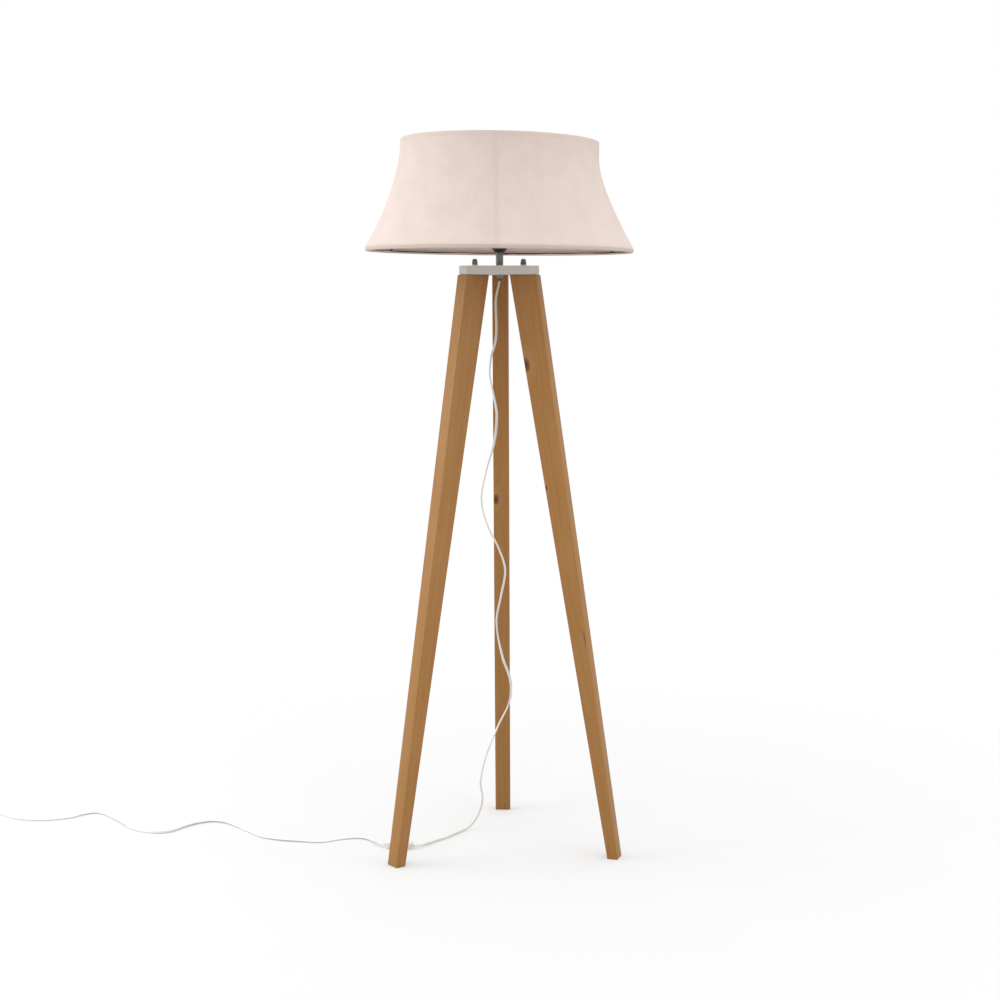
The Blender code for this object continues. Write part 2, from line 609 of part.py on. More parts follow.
def make_lead():
    """The free lead: hanging stretch, floor stretch, the coil of spare length, and the tail."""
    tube("lead_hanging", smooth_route(HANGING_ROUTE, LEAD_STEP), LEAD_DIAMETER, "white_lead")
    tube("lead_floor", smooth_route(FLOOR_ROUTE, LEAD_STEP), LEAD_DIAMETER, "white_lead")
    tube("lead_tail", smooth_route(TAIL_ROUTE, LEAD_STEP), LEAD_DIAMETER, "white_lead")
    low, high, edge = COIL_ABOVE_FLOOR, COIL_HEIGHT, 0.002
    section = [(COIL_INNER_RADIUS + edge, low), (COIL_OUTER_RADIUS - edge, low),
               (COIL_OUTER_RADIUS, low + edge), (COIL_OUTER_RADIUS, high - edge),
               (COIL_OUTER_RADIUS - edge, high), (COIL_INNER_RADIUS + edge, high),
               (COIL_INNER_RADIUS, high - edge), (COIL_INNER_RADIUS, low + edge)]
    coil = add_mesh("lead_coil", turned(section, 28), "white_lead", 50)
    stand(coil, (*COIL_CENTRE, 0.0))


def rounded_bar(length, width, end_radius, bottom, top, steps=5):
    """An upright bar along X with rounded corners in plan."""
    outline = []
    for corner in range(4):
        centre_x = (0.5 * length - end_radius) * (1 if corner in (0, 3) else -1)
        centre_y = (0.5 * width - end_radius) * (1 if corner in (0, 1) else -1)
        for step in range(steps + 1):
            angle = 0.5 * math.pi * (corner + step / steps)
            outline.append((centre_x + end_radius * math.cos(angle),
                            centre_y + end_radius * math.sin(angle)))
    return prism(outline, bottom, top)


def make_switch_shells():
    """Lower and upper shell of the in-line switch, hollow, with the rocker's window on top."""
    place = (*SWITCH_CENTRE, 0.0)
    room_length = SWITCH_LENGTH - 2.0 * SWITCH_END_WALL
    room_width = SWITCH_WIDTH - 2.0 * SWITCH_WALL
    room_corner = SWITCH_CORNER - SWITCH_WALL
    bottom = SWITCH_ABOVE_FLOOR
    lower = add_mesh("switch_lower", rounded_bar(SWITCH_LENGTH, SWITCH_WIDTH, SWITCH_CORNER,
                                                 bottom, SWITCH_SPLIT), "white_plastic")
    stand(lower, place, SWITCH_TURN)
    combine(lower, rounded_bar(room_length, room_width, room_corner, bottom + SWITCH_WALL,
                               SWITCH_SPLIT + 0.001))
    round_edges(lower, 0.0008)

    bottom = SWITCH_SPLIT + GAP
    upper = add_mesh("switch_upper", rounded_bar(SWITCH_LENGTH, SWITCH_WIDTH, SWITCH_CORNER,
                                                 bottom, SWITCH_HEIGHT), "white_plastic")
    stand(upper, place, SWITCH_TURN)
    combine(upper, rounded_bar(room_length, room_width, room_corner, bottom - 0.001,
                               SWITCH_HEIGHT - SWITCH_WALL))
    combine(upper, rounded_bar(ROCKER_LENGTH + 0.0024, ROCKER_WIDTH + 0.0012, 0.0010,
                               SWITCH_HEIGHT - 2.0 * SWITCH_WALL, SWITCH_HEIGHT + 0.002, 2))
    round_edges(upper, 0.0010)


def make_switch_works():
    """Rocker on its pin axis, the blade it carries, and the two terminals."""
    along = Matrix.Rotation(math.radians(SWITCH_TURN), 4, "Z")
    tilt = Matrix.Rotation(math.radians(ROCKER_TILT), 4, "Y")
    pivot = Matrix.Translation((*SWITCH_CENTRE, ROCKER_PIVOT_HEIGHT)) @ along
    end, foot, crown, dip = 0.5 * ROCKER_LENGTH, 0.0012, 0.0056, 0.0046
    outline = [(-end, foot), (end, foot), (0.95 * end, crown), (0.5 * end, 0.5 * (crown + dip)),
               (0.0, dip), (-0.5 * end, 0.5 * (crown + dip)), (-0.95 * end, crown)]
    stand_up = Matrix.Rotation(math.radians(90.0), 4, "X")
    shape = prism(outline, -0.5 * ROCKER_WIDTH, 0.5 * ROCKER_WIDTH)
    bmesh.ops.transform(shape, matrix=stand_up, verts=shape.verts)
    rocker = add_mesh("switch_rocker", shape, "white_plastic")
    rocker.matrix_world = pivot @ tilt
    round_edges(rocker, 0.0004)

    blade_half, blade_top = 0.0055, 0.0009
    blade_shape = prism([(-blade_half, 0.0002), (blade_half, 0.0002), (blade_half, blade_top),
                         (-blade_half, blade_top)], -0.0015, 0.0015)
    bmesh.ops.transform(blade_shape, matrix=stand_up, verts=blade_shape.verts)
    blade = add_mesh("switch_blade", blade_shape, "brass")
    blade.matrix_world = pivot @ tilt

    bottom = SWITCH_ABOVE_FLOOR + SWITCH_WALL + GAP
    for name, side in (("switch_terminal_lamp", 1.0), ("switch_terminal_plug", -1.0)):
        block = rounded_bar(0.0060, 0.0050, 0.0008, bottom, bottom + TERMINAL_HEIGHT, 1)
        bmesh.ops.translate(block, verts=block.verts, vec=(side * TERMINAL_OFFSET, 0.0, 0.0))
        stand(add_mesh(name, block, "brass"), (*SWITCH_CENTRE, 0.0), SWITCH_TURN)


def make_plug():
    """Flat two-pin plug lying on the floor, its pins pointing along its own +X."""
    lift = 0.5 * PLUG_THICKNESS + PLUG_ABOVE_FLOOR
    body_mesh = rounded_bar(PLUG_LENGTH, PLUG_WIDTH, PLUG_CORNER, PLUG_ABOVE_FLOOR, PLUG_THICKNESS)
    body = add_mesh("plug_body", body_mesh, "white_plastic")
    direction = polar(1.0, PLUG_TURN)
    centre = Vector((*PLUG_FRONT, 0.0)) - direction * 0.5 * PLUG_LENGTH
    stand(body, centre, PLUG_TURN)
    round_edges(body, 0.0020, 2)

    start = Vector((*PLUG_FRONT, lift)) + direction * GAP
    side = polar(1.0, PLUG_TURN + 90.0)
    for name, sign in (("plug_pin_left", 1.0), ("plug_pin_right", -1.0)):
        root = start + side * sign * 0.5 * PIN_SPACING
        tube(name, [root, root + direction * PIN_LENGTH], PIN_DIAMETER, "pin_metal")

    back = centre - direction * (0.5 * PLUG_LENGTH + GAP) + Vector((0.0, 0.0, lift))
    relief = [(0.0, 0.0), (RELIEF_ROOT_RADIUS, 0.0), (RELIEF_END_RADIUS, RELIEF_LENGTH),
              (0.0, RELIEF_LENGTH)]
    sleeve = add_mesh("plug_relief", turned(relief, 20, False), "white_plastic", 40)
    sleeve.matrix_world = (Matrix.Translation(back)
                           @ Matrix.Rotation(math.radians(PLUG_TURN), 4, "Z")
                           @ Matrix.Rotation(math.radians(-90.0), 4, "Y"))


clear_scene()
make_plate()
for leg_side in LEGS:
    make_leg(leg_side)
    make_leg_fixings(leg_side)
make_stem()
make_lampholder()
make_ring_nuts()
make_bulb()
make_shade_cover()
make_shade_frame()
make_lead()
make_switch_shells()
make_switch_works()
make_plug()
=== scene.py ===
import json
import math

import bmesh
import bpy
from mathutils import Matrix, Vector
from mathutils.geometry import interpolate_bezier


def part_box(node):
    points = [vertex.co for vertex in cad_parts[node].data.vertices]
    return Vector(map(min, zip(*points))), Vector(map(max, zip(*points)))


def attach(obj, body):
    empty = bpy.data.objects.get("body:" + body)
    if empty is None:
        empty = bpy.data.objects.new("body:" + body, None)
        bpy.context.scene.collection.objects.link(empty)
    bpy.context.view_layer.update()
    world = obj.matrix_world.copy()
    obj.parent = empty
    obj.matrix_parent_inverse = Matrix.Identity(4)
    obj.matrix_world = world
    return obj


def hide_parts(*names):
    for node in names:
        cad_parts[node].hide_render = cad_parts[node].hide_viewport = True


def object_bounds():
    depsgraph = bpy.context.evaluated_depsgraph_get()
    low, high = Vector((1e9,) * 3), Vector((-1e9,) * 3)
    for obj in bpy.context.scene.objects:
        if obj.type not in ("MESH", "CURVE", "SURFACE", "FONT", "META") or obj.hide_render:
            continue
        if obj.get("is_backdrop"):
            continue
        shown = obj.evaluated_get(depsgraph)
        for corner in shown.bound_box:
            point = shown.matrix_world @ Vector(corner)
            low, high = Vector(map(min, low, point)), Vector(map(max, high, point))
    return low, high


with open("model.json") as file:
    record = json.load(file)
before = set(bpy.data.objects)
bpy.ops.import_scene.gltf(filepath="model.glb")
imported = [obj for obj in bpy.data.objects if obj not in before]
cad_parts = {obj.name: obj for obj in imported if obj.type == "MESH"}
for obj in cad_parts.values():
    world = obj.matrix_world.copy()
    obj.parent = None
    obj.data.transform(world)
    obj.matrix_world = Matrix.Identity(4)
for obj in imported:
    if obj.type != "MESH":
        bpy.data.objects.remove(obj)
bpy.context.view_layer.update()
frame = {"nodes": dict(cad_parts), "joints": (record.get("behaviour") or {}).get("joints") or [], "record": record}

joints = {joint["name"]: Vector(joint["pos_m"]) for joint in frame["joints"]}
mounts = {mount["name"]: Vector(mount["pos_m"]) for mount in frame["record"]["mounts"]}

# ------------------------------------------------------------------------------ the top plate
# A triangle of 18 mm board with its three corners cut off. It is sawn, its edges are broken with
# sandpaper, and it is sprayed with a thin coat of off-white paint that has rubbed off here and
# there along the edges.
PLATE_LONG_SIDE = 0.130
PLATE_SHORT_SIDE = 0.033
PLATE_EDGE = 0.0009
PLATE_PAINT_LIGHT = (0.69, 0.665, 0.625)
PLATE_PAINT_DARK = (0.61, 0.585, 0.535)
WORN_BOARD = (0.42, 0.34, 0.25)


def new_finish(name, colour, roughness, metallic=0.0):
    """A new material, its node tree and its shader."""
    finish = bpy.data.materials.new(name)
    finish.use_nodes = True
    shader = finish.node_tree.nodes["Principled BSDF"]
    shader.inputs["Base Color"].default_value = (*colour, 1.0)
    shader.inputs["Roughness"].default_value = roughness
    shader.inputs["Metallic"].default_value = metallic
    return finish, finish.node_tree, shader


def add_step(tree, kind, inputs=None, **settings):
    """Add a shader node. An input takes a value, or what another node gives."""
    made = tree.nodes.new("ShaderNode" + kind)
    for name, value in settings.items():
        setattr(made, name, value)
    for name, value in (inputs or {}).items():
        if isinstance(value, bpy.types.NodeSocket):
            tree.links.new(value, made.inputs[name])
        else:
            made.inputs[name].default_value = value
    return made


def sum_of(tree, first, second, operation="ADD"):
    """One sum on two values."""
    return add_step(tree, "Math", {0: first, 1: second}, operation=operation).outputs[0]


def share_of(tree, value, low, high, start=0.0, end=1.0, soft=True):
    """Follow a value from low to high with a share that runs from start to end."""
    kind = "SMOOTHSTEP" if soft else "LINEAR"
    spans = {"Value": value, "From Min": low, "From Max": high, "To Min": start, "To Max": end}
    return add_step(tree, "MapRange", spans, interpolation_type=kind).outputs[0]


def noise(tree, place, grain, detail=3.0):
    """Noise from 0 to 1, with its grain in features per metre along x, y and z."""
    stretched = add_step(tree, "Mapping", {"Vector": place, "Scale": grain}).outputs[0]
    return add_step(tree, "TexNoise", {"Vector": stretched, "Scale": 1.0,
                                       "Detail": detail}).outputs[0]


def tint(tree, share, first, second):
    """A colour between two: the first at share 0, the second at share 1."""
    colours = {0: share}
    for slot, colour in ((6, first), (7, second)):
        colours[slot] = colour if isinstance(colour, bpy.types.NodeSocket) else (*colour, 1.0)
    return add_step(tree, "Mix", colours, data_type="RGBA").outputs[2]


def raise_surface(tree, shader, height, distance):
    """Give the shader a relief of the given depth in metres."""
    bump = add_step(tree, "Bump", {"Height": height, "Distance": distance, "Strength": 1.0})
    tree.links.new(bump.outputs[0], shader.inputs["Normal"])


def object_place(tree):
    """Where a point lies in the lamp's own axes."""
    return add_step(tree, "TexCoord").outputs["Object"]


def painted_board():
    """Thin off-white paint with a faint mottle, rubbed thin along the upper and lower edges."""
    finish, tree, shader = new_finish("plate_paint", PLATE_PAINT_LIGHT, 0.55)
    place = object_place(tree)
    mottle = noise(tree, place, (60.0, 60.0, 60.0), 5.0)
    speckle = noise(tree, place, (1500.0, 1500.0, 1500.0), 2.0)
    paint = tint(tree, mottle, PLATE_PAINT_LIGHT, PLATE_PAINT_DARK)
    low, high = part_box("top_plate")
    height = add_step(tree, "SeparateXYZ", {0: place}).outputs[2]
    from_middle = sum_of(tree, height, 0.5 * (low.z + high.z), "SUBTRACT")
    from_middle = add_step(tree, "Math", {0: from_middle}, operation="ABSOLUTE").outputs[0]
    half = 0.5 * (high.z - low.z)
    near_edge = share_of(tree, from_middle, half - 1.6 * PLATE_EDGE, half - 0.3 * PLATE_EDGE)
    patchy = share_of(tree, noise(tree, place, (140.0, 140.0, 140.0), 4.0), 0.50, 0.68)
    worn = sum_of(tree, near_edge, patchy, "MULTIPLY")
    colour = tint(tree, sum_of(tree, worn, 0.55, "MULTIPLY"), paint, WORN_BOARD)
    tree.links.new(colour, shader.inputs["Base Color"])
    tree.links.new(share_of(tree, speckle, 0.3, 0.7, 0.48, 0.64), shader.inputs["Roughness"])
    raise_surface(tree, shader, speckle, 0.00012)
    return finish


def add_piece(name, shape, finish, body, stands_for=(), smooth=35.0):
    """Turn a bmesh into a piece of the lamp that rides on a body and stands for CAD nodes."""
    mesh = bpy.data.meshes.new(name)
    shape.to_mesh(mesh)
    shape.free()
    mesh.shade_smooth()
    mesh.set_sharp_from_angle(angle=math.radians(smooth))
    piece = bpy.data.objects.new(name, mesh)
    mesh.materials.append(finish)
    bpy.context.scene.collection.objects.link(piece)
    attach(piece, body)
    if stands_for:
        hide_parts(*stands_for)
    return piece


def soften(shape, width, segments=3, angle=30.0, edges=None):
    """Round a shape's edges where its faces turn by more than an angle."""
    if edges is None:
        limit = math.radians(angle)
        edges = [edge for edge in shape.edges if edge.calc_face_angle(0.0) > limit]
    bmesh.ops.bevel(shape, geom=edges, offset=width, offset_type="OFFSET", segments=segments,
                    profile=0.5, affect="EDGES", material=-1, clamp_overlap=True)


def raised(outline, bottom, top):
    """A bmesh with a flat outline raised from bottom to top."""
    shape = bmesh.new()
    base = shape.faces.new([shape.verts.new((x, y, bottom)) for x, y in outline])
    extruded = bmesh.ops.extrude_face_region(shape, geom=[base])
    moved = [item for item in extruded["geom"] if isinstance(item, bmesh.types.BMVert)]
    bmesh.ops.translate(shape, verts=moved, vec=(0.0, 0.0, top - bottom))
    bmesh.ops.recalc_face_normals(shape, faces=shape.faces)
    return shape


def plate_outline():
    """Three long sides and three short ones, with a long side in front."""
    front = -(PLATE_LONG_SIDE + 2.0 * PLATE_SHORT_SIDE) * math.sqrt(3.0) / 6.0
    corners = []
    for third in range(3):
        turn = Matrix.Rotation(third * 2.0 * math.pi / 3.0, 2)
        for x in (-0.5 * PLATE_LONG_SIDE, 0.5 * PLATE_LONG_SIDE):
            corners.append(turn @ Vector((x, front)))
    return corners


plate_low, plate_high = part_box("top_plate")
plate = raised(plate_outline(), plate_low.z, plate_high.z)
soften(plate, PLATE_EDGE)
add_piece("painted_plate", plate, painted_board(), "base", ["top_plate"])

# --------------------------------------------------------------------------------- the legs
# Three boards of knotty pine, 33 mm thick, that taper in depth from 56 mm under the plate to
# 22 mm at the floor. They are sawn flat at both ends, their edges are rounded over a little, and
# they have a brown stain and a satin lacquer.
LEG_THICKNESS = 0.033
LEG_TOP_SPAN = (-0.0245, 0.0315)
LEG_FOOT_SPAN = (0.1890, 0.2115)
LEG_EDGE = 0.0014
RING_WIDTH = 0.0068
EARLY_WOOD = (0.405, 0.199, 0.062)
LATE_WOOD = (0.345, 0.160, 0.047)
KNOT_WOOD = (0.085, 0.034, 0.014)
KNOT_RIM_WOOD = (0.22, 0.095, 0.036)
HALO_WOOD = (0.460, 0.245, 0.092)
FIBRE_WOOD = (0.270, 0.118, 0.033)
PALE_WOOD = (0.455, 0.236, 0.084)


def knot_distance(tree, timber, place, size):
    """How far a point is from the middle of a knot, in knot radii."""
    away = add_step(tree, "VectorMath", {0: timber, 1: place}, operation="SUBTRACT").outputs[0]
    scaled = add_step(tree, "VectorMath", {0: away, 1: size}, operation="DIVIDE").outputs[0]
    return add_step(tree, "VectorMath", {0: scaled}, operation="LENGTH").outputs[1]


def pine(name, heart, knots):
    """Stained pine. The heart of the tree and the knots are given in the board's own axes."""
    finish, tree, shader = new_finish(name, EARLY_WOOD, 0.42)
    timber = add_step(tree, "Attribute", attribute_name="timber").outputs["Vector"]
    from_heart = add_step(tree, "VectorMath", {0: timber, 1: (*heart, 0.0)},
                          operation="SUBTRACT").outputs[0]
    level = add_step(tree, "VectorMath", {0: from_heart, 1: (1.0, 1.0, 0.035)},
                     operation="MULTIPLY").outputs[0]
    radius = add_step(tree, "VectorMath", {0: level}, operation="LENGTH").outputs[1]
    wander = noise(tree, timber, (16.0, 16.0, 2.2), 3.0)
    radius = sum_of(tree, radius, sum_of(tree, wander, 0.034, "MULTIPLY"))
    distances = [knot_distance(tree, timber, place, size) for place, size in knots]
    for distance in distances:
        radius = sum_of(tree, radius, share_of(tree, distance, 0.0, 5.0, 0.009, 0.0))
    ring = sum_of(tree, sum_of(tree, radius, RING_WIDTH, "DIVIDE"), 1.0, "FLOORED_MODULO")
    rise = share_of(tree, ring, 0.25, 0.86)
    fall = share_of(tree, ring, 0.90, 1.0, 1.0, 0.0)
    late = sum_of(tree, rise, fall, "MULTIPLY")
    fibre = noise(tree, timber, (1300.0, 1300.0, 16.0), 3.0)
    blotch = noise(tree, timber, (24.0, 24.0, 6.0), 3.0)
    wood = tint(tree, sum_of(tree, late, 0.45, "MULTIPLY"), EARLY_WOOD, LATE_WOOD)
    wood = tint(tree, share_of(tree, fibre, 0.42, 0.76, 0.0, 0.30), wood, FIBRE_WOOD)
    wood = tint(tree, share_of(tree, blotch, 0.35, 0.75, 0.0, 0.35), wood, PALE_WOOD)
    for distance in distances:
        rippled = sum_of(tree, distance, sum_of(tree, fibre, 0.35, "MULTIPLY"))
        wood = tint(tree, share_of(tree, rippled, 1.1, 3.4, 0.45, 0.0), wood, HALO_WOOD)
        heartwood = tint(tree, share_of(tree, distance, 0.1, 0.8), KNOT_WOOD, KNOT_RIM_WOOD)
        wood = tint(tree, share_of(tree, rippled, 0.85, 1.25, 0.92, 0.0), wood, heartwood)
    tree.links.new(wood, shader.inputs["Base Color"])
    tree.links.new(share_of(tree, fibre, 0.3, 0.7, 0.36, 0.50), shader.inputs["Roughness"])
    shader.inputs["Specular IOR Level"].default_value = 0.22
    grain = sum_of(tree, sum_of(tree, late, 0.5, "MULTIPLY"), sum_of(tree, fibre, 0.5, "MULTIPLY"))
    raise_surface(tree, shader, grain, 0.00018)
    return finish


def make_leg(side, finish):
    """One leg, with the board's own axes kept on its points as the attribute timber."""
    bolt = joints["leg_%s_swing" % side]
    foot = mounts["foot_" + side]
    outwards = Vector((foot.x - bolt.x, foot.y - bolt.y, 0.0)).normalized()
    across = Vector((-outwards.y, outwards.x, 0.0))
    low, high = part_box("leg_" + side)
    half = 0.5 * LEG_THICKNESS
    shape = bmesh.new()
    rim = []
    for reach, lift in ((LEG_TOP_SPAN[0], -half), (LEG_TOP_SPAN[1], -half),
                        (LEG_TOP_SPAN[1], half), (LEG_TOP_SPAN[0], half)):
        place = bolt + outwards * reach + across * lift
        rim.append(shape.verts.new((place.x, place.y, high.z)))
    top = shape.faces.new(rim)
    extruded = bmesh.ops.extrude_face_region(shape, geom=[top])
    for corner in extruded["geom"]:
        if isinstance(corner, bmesh.types.BMVert):
            reach = (corner.co - bolt).dot(outwards)
            end = LEG_FOOT_SPAN[1] if reach > 0.0 else LEG_FOOT_SPAN[0]
            corner.co += outwards * (end - reach)
            corner.co.z = low.z
    bmesh.ops.recalc_face_normals(shape, faces=shape.faces)
    soften(shape, LEG_EDGE)
    head = bolt + outwards * 0.5 * sum(LEG_TOP_SPAN)
    along = (foot - head).normalized()
    depth = across.cross(along)
    timber = shape.verts.layers.float_vector.new("timber")
    for point in shape.verts:
        away = point.co - head
        point[timber] = (away.dot(depth), away.dot(across), away.dot(along))
    add_piece("pine_leg_" + side, shape, finish, "leg_" + side, ["leg_" + side])


THROUGH = 0.060
# Each leg: the heart of the tree in the board, then the middle and half sizes of its knots.
LEG_TIMBER = {
    "left": ((0.031, 0.074), [((0.0115, 0.0165, 0.290), (0.0016, THROUGH, 0.0028))]),
    "right": ((-0.042, 0.066), [((0.0215, -0.0165, 0.1815), (0.0088, THROUGH, 0.0165)),
                                ((0.0190, -0.0165, 0.4350), (0.0030, THROUGH, 0.0062)),
                                ((-0.0130, -0.0165, 0.7520), (0.0012, THROUGH, 0.0230))]),
    "rear": ((-0.055, 0.040), [((0.0200, 0.0110, 0.4800), (THROUGH, 0.0066, 0.0135))]),
}
for leg_side, (leg_heart, leg_knots) in LEG_TIMBER.items():
    make_leg(leg_side, pine("stained_pine_" + leg_side, leg_heart, leg_knots))

# ------------------------------------------------------------------------- the leg fixings
# An M6 hanger bolt is screwed into the top of each leg and passes through the plate. A zinc
# washer and a domed cap nut of dull brass hold it there, and the leg can turn about it.
CAP_NUT_ACROSS_FLATS = 0.0110
CAP_NUT_FLATS_HEIGHT = 0.0055
NUT_STEPS = 48
DOME_FULLNESS = 0.70
DOME_STEPS = 12
WASHER_BORE_RADIUS = 0.0034


def metal(name, light, dark, roughness, grain, relief=0.00004):
    """Bare or plated metal with fine marks that run as the grain says."""
    finish, tree, shader = new_finish(name, light, roughness[0], 1.0)
    marks = noise(tree, object_place(tree), grain, 4.0)
    stain = noise(tree, object_place(tree), (90.0, 90.0, 90.0), 3.0)
    tone = sum_of(tree, sum_of(tree, marks, 0.5, "MULTIPLY"), sum_of(tree, stain, 0.5, "MULTIPLY"))
    tree.links.new(tint(tree, share_of(tree, tone, 0.35, 0.65), light, dark),
                   shader.inputs["Base Color"])
    tree.links.new(share_of(tree, tone, 0.3, 0.7, *roughness), shader.inputs["Roughness"])
    raise_surface(tree, shader, marks, relief)
    return finish


def turned(profile, steps, centre=(0.0, 0.0)):
    """A bmesh turned about an upright line from (radius, height) points, open at both ends."""
    shape = bmesh.new()
    points = [shape.verts.new((centre[0] + radius, centre[1], height)) for radius, height in profile]
    edges = [shape.edges.new(pair) for pair in zip(points, points[1:])]
    bmesh.ops.spin(shape, geom=points + edges, cent=(*centre, 0.0), axis=(0.0, 0.0, 1.0),
                   angle=2.0 * math.pi, steps=steps, use_merge=True)
    bmesh.ops.remove_doubles(shape, verts=shape.verts, dist=0.00001)
    bmesh.ops.recalc_face_normals(shape, faces=shape.faces)
    return shape


def rounded(profile, reach, steps=3, closed=False):
    """Points with each corner drawn as a small arc that starts a reach before the corner."""
    smooth = []
    count = len(profile)
    for index, point in enumerate(profile):
        corner = Vector(point)
        if not closed and index in (0, count - 1):
            smooth.append(corner)
            continue
        before, after = Vector(profile[index - 1]), Vector(profile[(index + 1) % count])
        start = corner + (before - corner) * min(0.45, reach / (before - corner).length)
        end = corner + (after - corner) * min(0.45, reach / (after - corner).length)
        for step in range(steps + 1):
            share = step / steps
            smooth.append(start.lerp(corner, share).lerp(corner.lerp(end, share), share))
    return smooth


def turned_ring(profile, reach, steps, centre=(0.0, 0.0)):
    """A turned piece with a bore, from the corners of its section."""
    section = rounded(profile, reach, closed=True)
    return turned(section + section[:1], steps, centre)


def cut_hexagon(shape, across_flats, centre, turn):
    """Move a turned shape's points in to a hexagon's six flats."""
    for point in shape.verts:
        x, y = point.co.x - centre[0], point.co.y - centre[1]
        radius = math.hypot(x, y)
        side = (math.atan2(y, x) - turn) % (math.pi / 3.0) - math.pi / 6.0
        limit = 0.5 * across_flats / math.cos(side)
        if radius > limit:
            point.co.x = centre[0] + x * limit / radius
            point.co.y = centre[1] + y * limit / radius


def cap_nut(bottom, top, centre, turn):
    """Six flats with turned chamfers, and a dome."""
    corner = 0.5 * CAP_NUT_ACROSS_FLATS / math.cos(math.pi / 6.0)
    flats_top = bottom + CAP_NUT_FLATS_HEIGHT
    dome_radius = 0.48 * CAP_NUT_ACROSS_FLATS
    profile = [(0.0, bottom), (0.88 * corner, bottom), (corner, bottom + 0.0007),
               (corner, flats_top - 0.0008), (0.88 * corner, flats_top)]
    for step in range(DOME_STEPS):
        angle = 0.5 * math.pi * step / DOME_STEPS
        profile.append((dome_radius * math.cos(angle) ** DOME_FULLNESS,
                        flats_top + (top - flats_top) * math.sin(angle) ** DOME_FULLNESS))
    profile.append((0.0, top))
    shape = turned(profile, NUT_STEPS, centre)
    cut_hexagon(shape, CAP_NUT_ACROSS_FLATS, centre, turn)
    return shape


zinc = metal("zinc_steel", (0.62, 0.62, 0.61), (0.48, 0.48, 0.47), (0.30, 0.45), (700.0, 700.0, 700.0))
dull_brass = metal("aged_brass", (0.27, 0.225, 0.165), (0.13, 0.105, 0.075), (0.26, 0.46),
                   (500.0, 500.0, 500.0))
for leg_side in LEG_TIMBER:
    low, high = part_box("washer_" + leg_side)
    bolt_line = 0.5 * (low.x + high.x), 0.5 * (low.y + high.y)
    inner, outer = WASHER_BORE_RADIUS, 0.5 * (high.x - low.x)
    washer_corners = [(inner, low.z), (outer, low.z), (outer, high.z), (inner, high.z)]
    washer = turned_ring(washer_corners, 0.0004, 48, bolt_line)
    add_piece("zinc_washer_" + leg_side, washer, zinc, "leg_" + leg_side,
              ["washer_" + leg_side])
    low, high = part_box("cap_nut_" + leg_side)
    outwards = mounts["foot_" + leg_side] - joints["leg_%s_swing" % leg_side]
    nut = cap_nut(low.z, high.z, bolt_line, math.atan2(outwards.y, outwards.x))
    add_piece("domed_nut_" + leg_side, nut, dull_brass, "leg_" + leg_side,
              ["cap_nut_" + leg_side], 28.0)
    frame["nodes"]["hanger_bolt_" + leg_side].data.materials.clear()
    frame["nodes"]["hanger_bolt_" + leg_side].data.materials.append(zinc)

# ------------------------------------------------------------------------------- the stem
# A short sleeve of satin steel tube stands on the plate. Inside it a hollow M10 nipple, threaded
# all along, runs from under the plate into the lampholder, and a lock nut below clamps them.
THREAD_ROWS = 6
TUBE_WALL = 0.0015


def cut_thread(shape, pitch, depth, low, high, from_radius):
    """Cut a round-bottomed screw thread into the wall of a turned shape, between two heights."""
    for point in shape.verts:
        radius = point.co.xy.length
        if not low <= point.co.z <= high or radius < from_radius:
            continue
        wave = 0.5 - 0.5 * math.cos(2.0 * math.pi * point.co.z / pitch
                                    - math.atan2(point.co.y, point.co.x))
        scale = (radius - depth * wave) / radius
        point.co.x *= scale
        point.co.y *= scale


def rows_between(radius, low, high, spacing):
    """Points up a straight wall, a spacing apart."""
    count = max(1, round(abs(high - low) / spacing))
    return [(radius, low + (high - low) * row / count) for row in range(count + 1)]


satin_steel = metal("satin_steel", (0.30, 0.29, 0.28), (0.22, 0.21, 0.20), (0.44, 0.56),
                    (260.0, 260.0, 2600.0))
low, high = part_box("stem_tube")
outer = 0.5 * (high.x - low.x)
inner = outer - TUBE_WALL
sleeve = turned_ring([(inner, low.z), (outer, low.z), (outer, high.z), (inner, high.z)], 0.0004, 64)
add_piece("stem_sleeve", sleeve, satin_steel, "base", ["stem_tube"])

NIPPLE_PITCH = 0.0010
NIPPLE_BORE = 0.0076
low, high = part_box("stem_nipple")
outer, inner = 0.5 * (high.x - low.x), 0.5 * NIPPLE_BORE
wall = rows_between(outer, low.z + 0.0005, high.z - 0.0005, NIPPLE_PITCH / THREAD_ROWS)
nipple = turned([(inner, low.z), (outer - 0.0006, low.z)] + wall
                + [(outer - 0.0006, high.z), (inner, high.z), (inner, low.z)], 32)
cut_thread(nipple, NIPPLE_PITCH, 0.00055, low=low.z + 0.0005, high=high.z - 0.0005,
           from_radius=outer - 0.0001)
add_piece("threaded_nipple", nipple, zinc, "base", ["stem_nipple"], 60.0)

LOCK_NUT_ACROSS_FLATS = 0.014
LOCK_NUT_BORE_RADIUS = 0.0053
LOCK_NUT_TURN = 0.35
low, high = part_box("stem_lock_nut")
corner = 0.5 * LOCK_NUT_ACROSS_FLATS / math.cos(math.pi / 6.0)
lock_nut = turned([(LOCK_NUT_BORE_RADIUS, low.z), (0.90 * corner, low.z), (corner, low.z + 0.0006),
                   (corner, high.z - 0.0006), (0.90 * corner, high.z), (LOCK_NUT_BORE_RADIUS, high.z),
                   (LOCK_NUT_BORE_RADIUS, low.z)], NUT_STEPS)
cut_hexagon(lock_nut, LOCK_NUT_ACROSS_FLATS, (0.0, 0.0), LOCK_NUT_TURN)
add_piece("lock_nut", lock_nut, zinc, "base", ["stem_lock_nut"], 28.0)

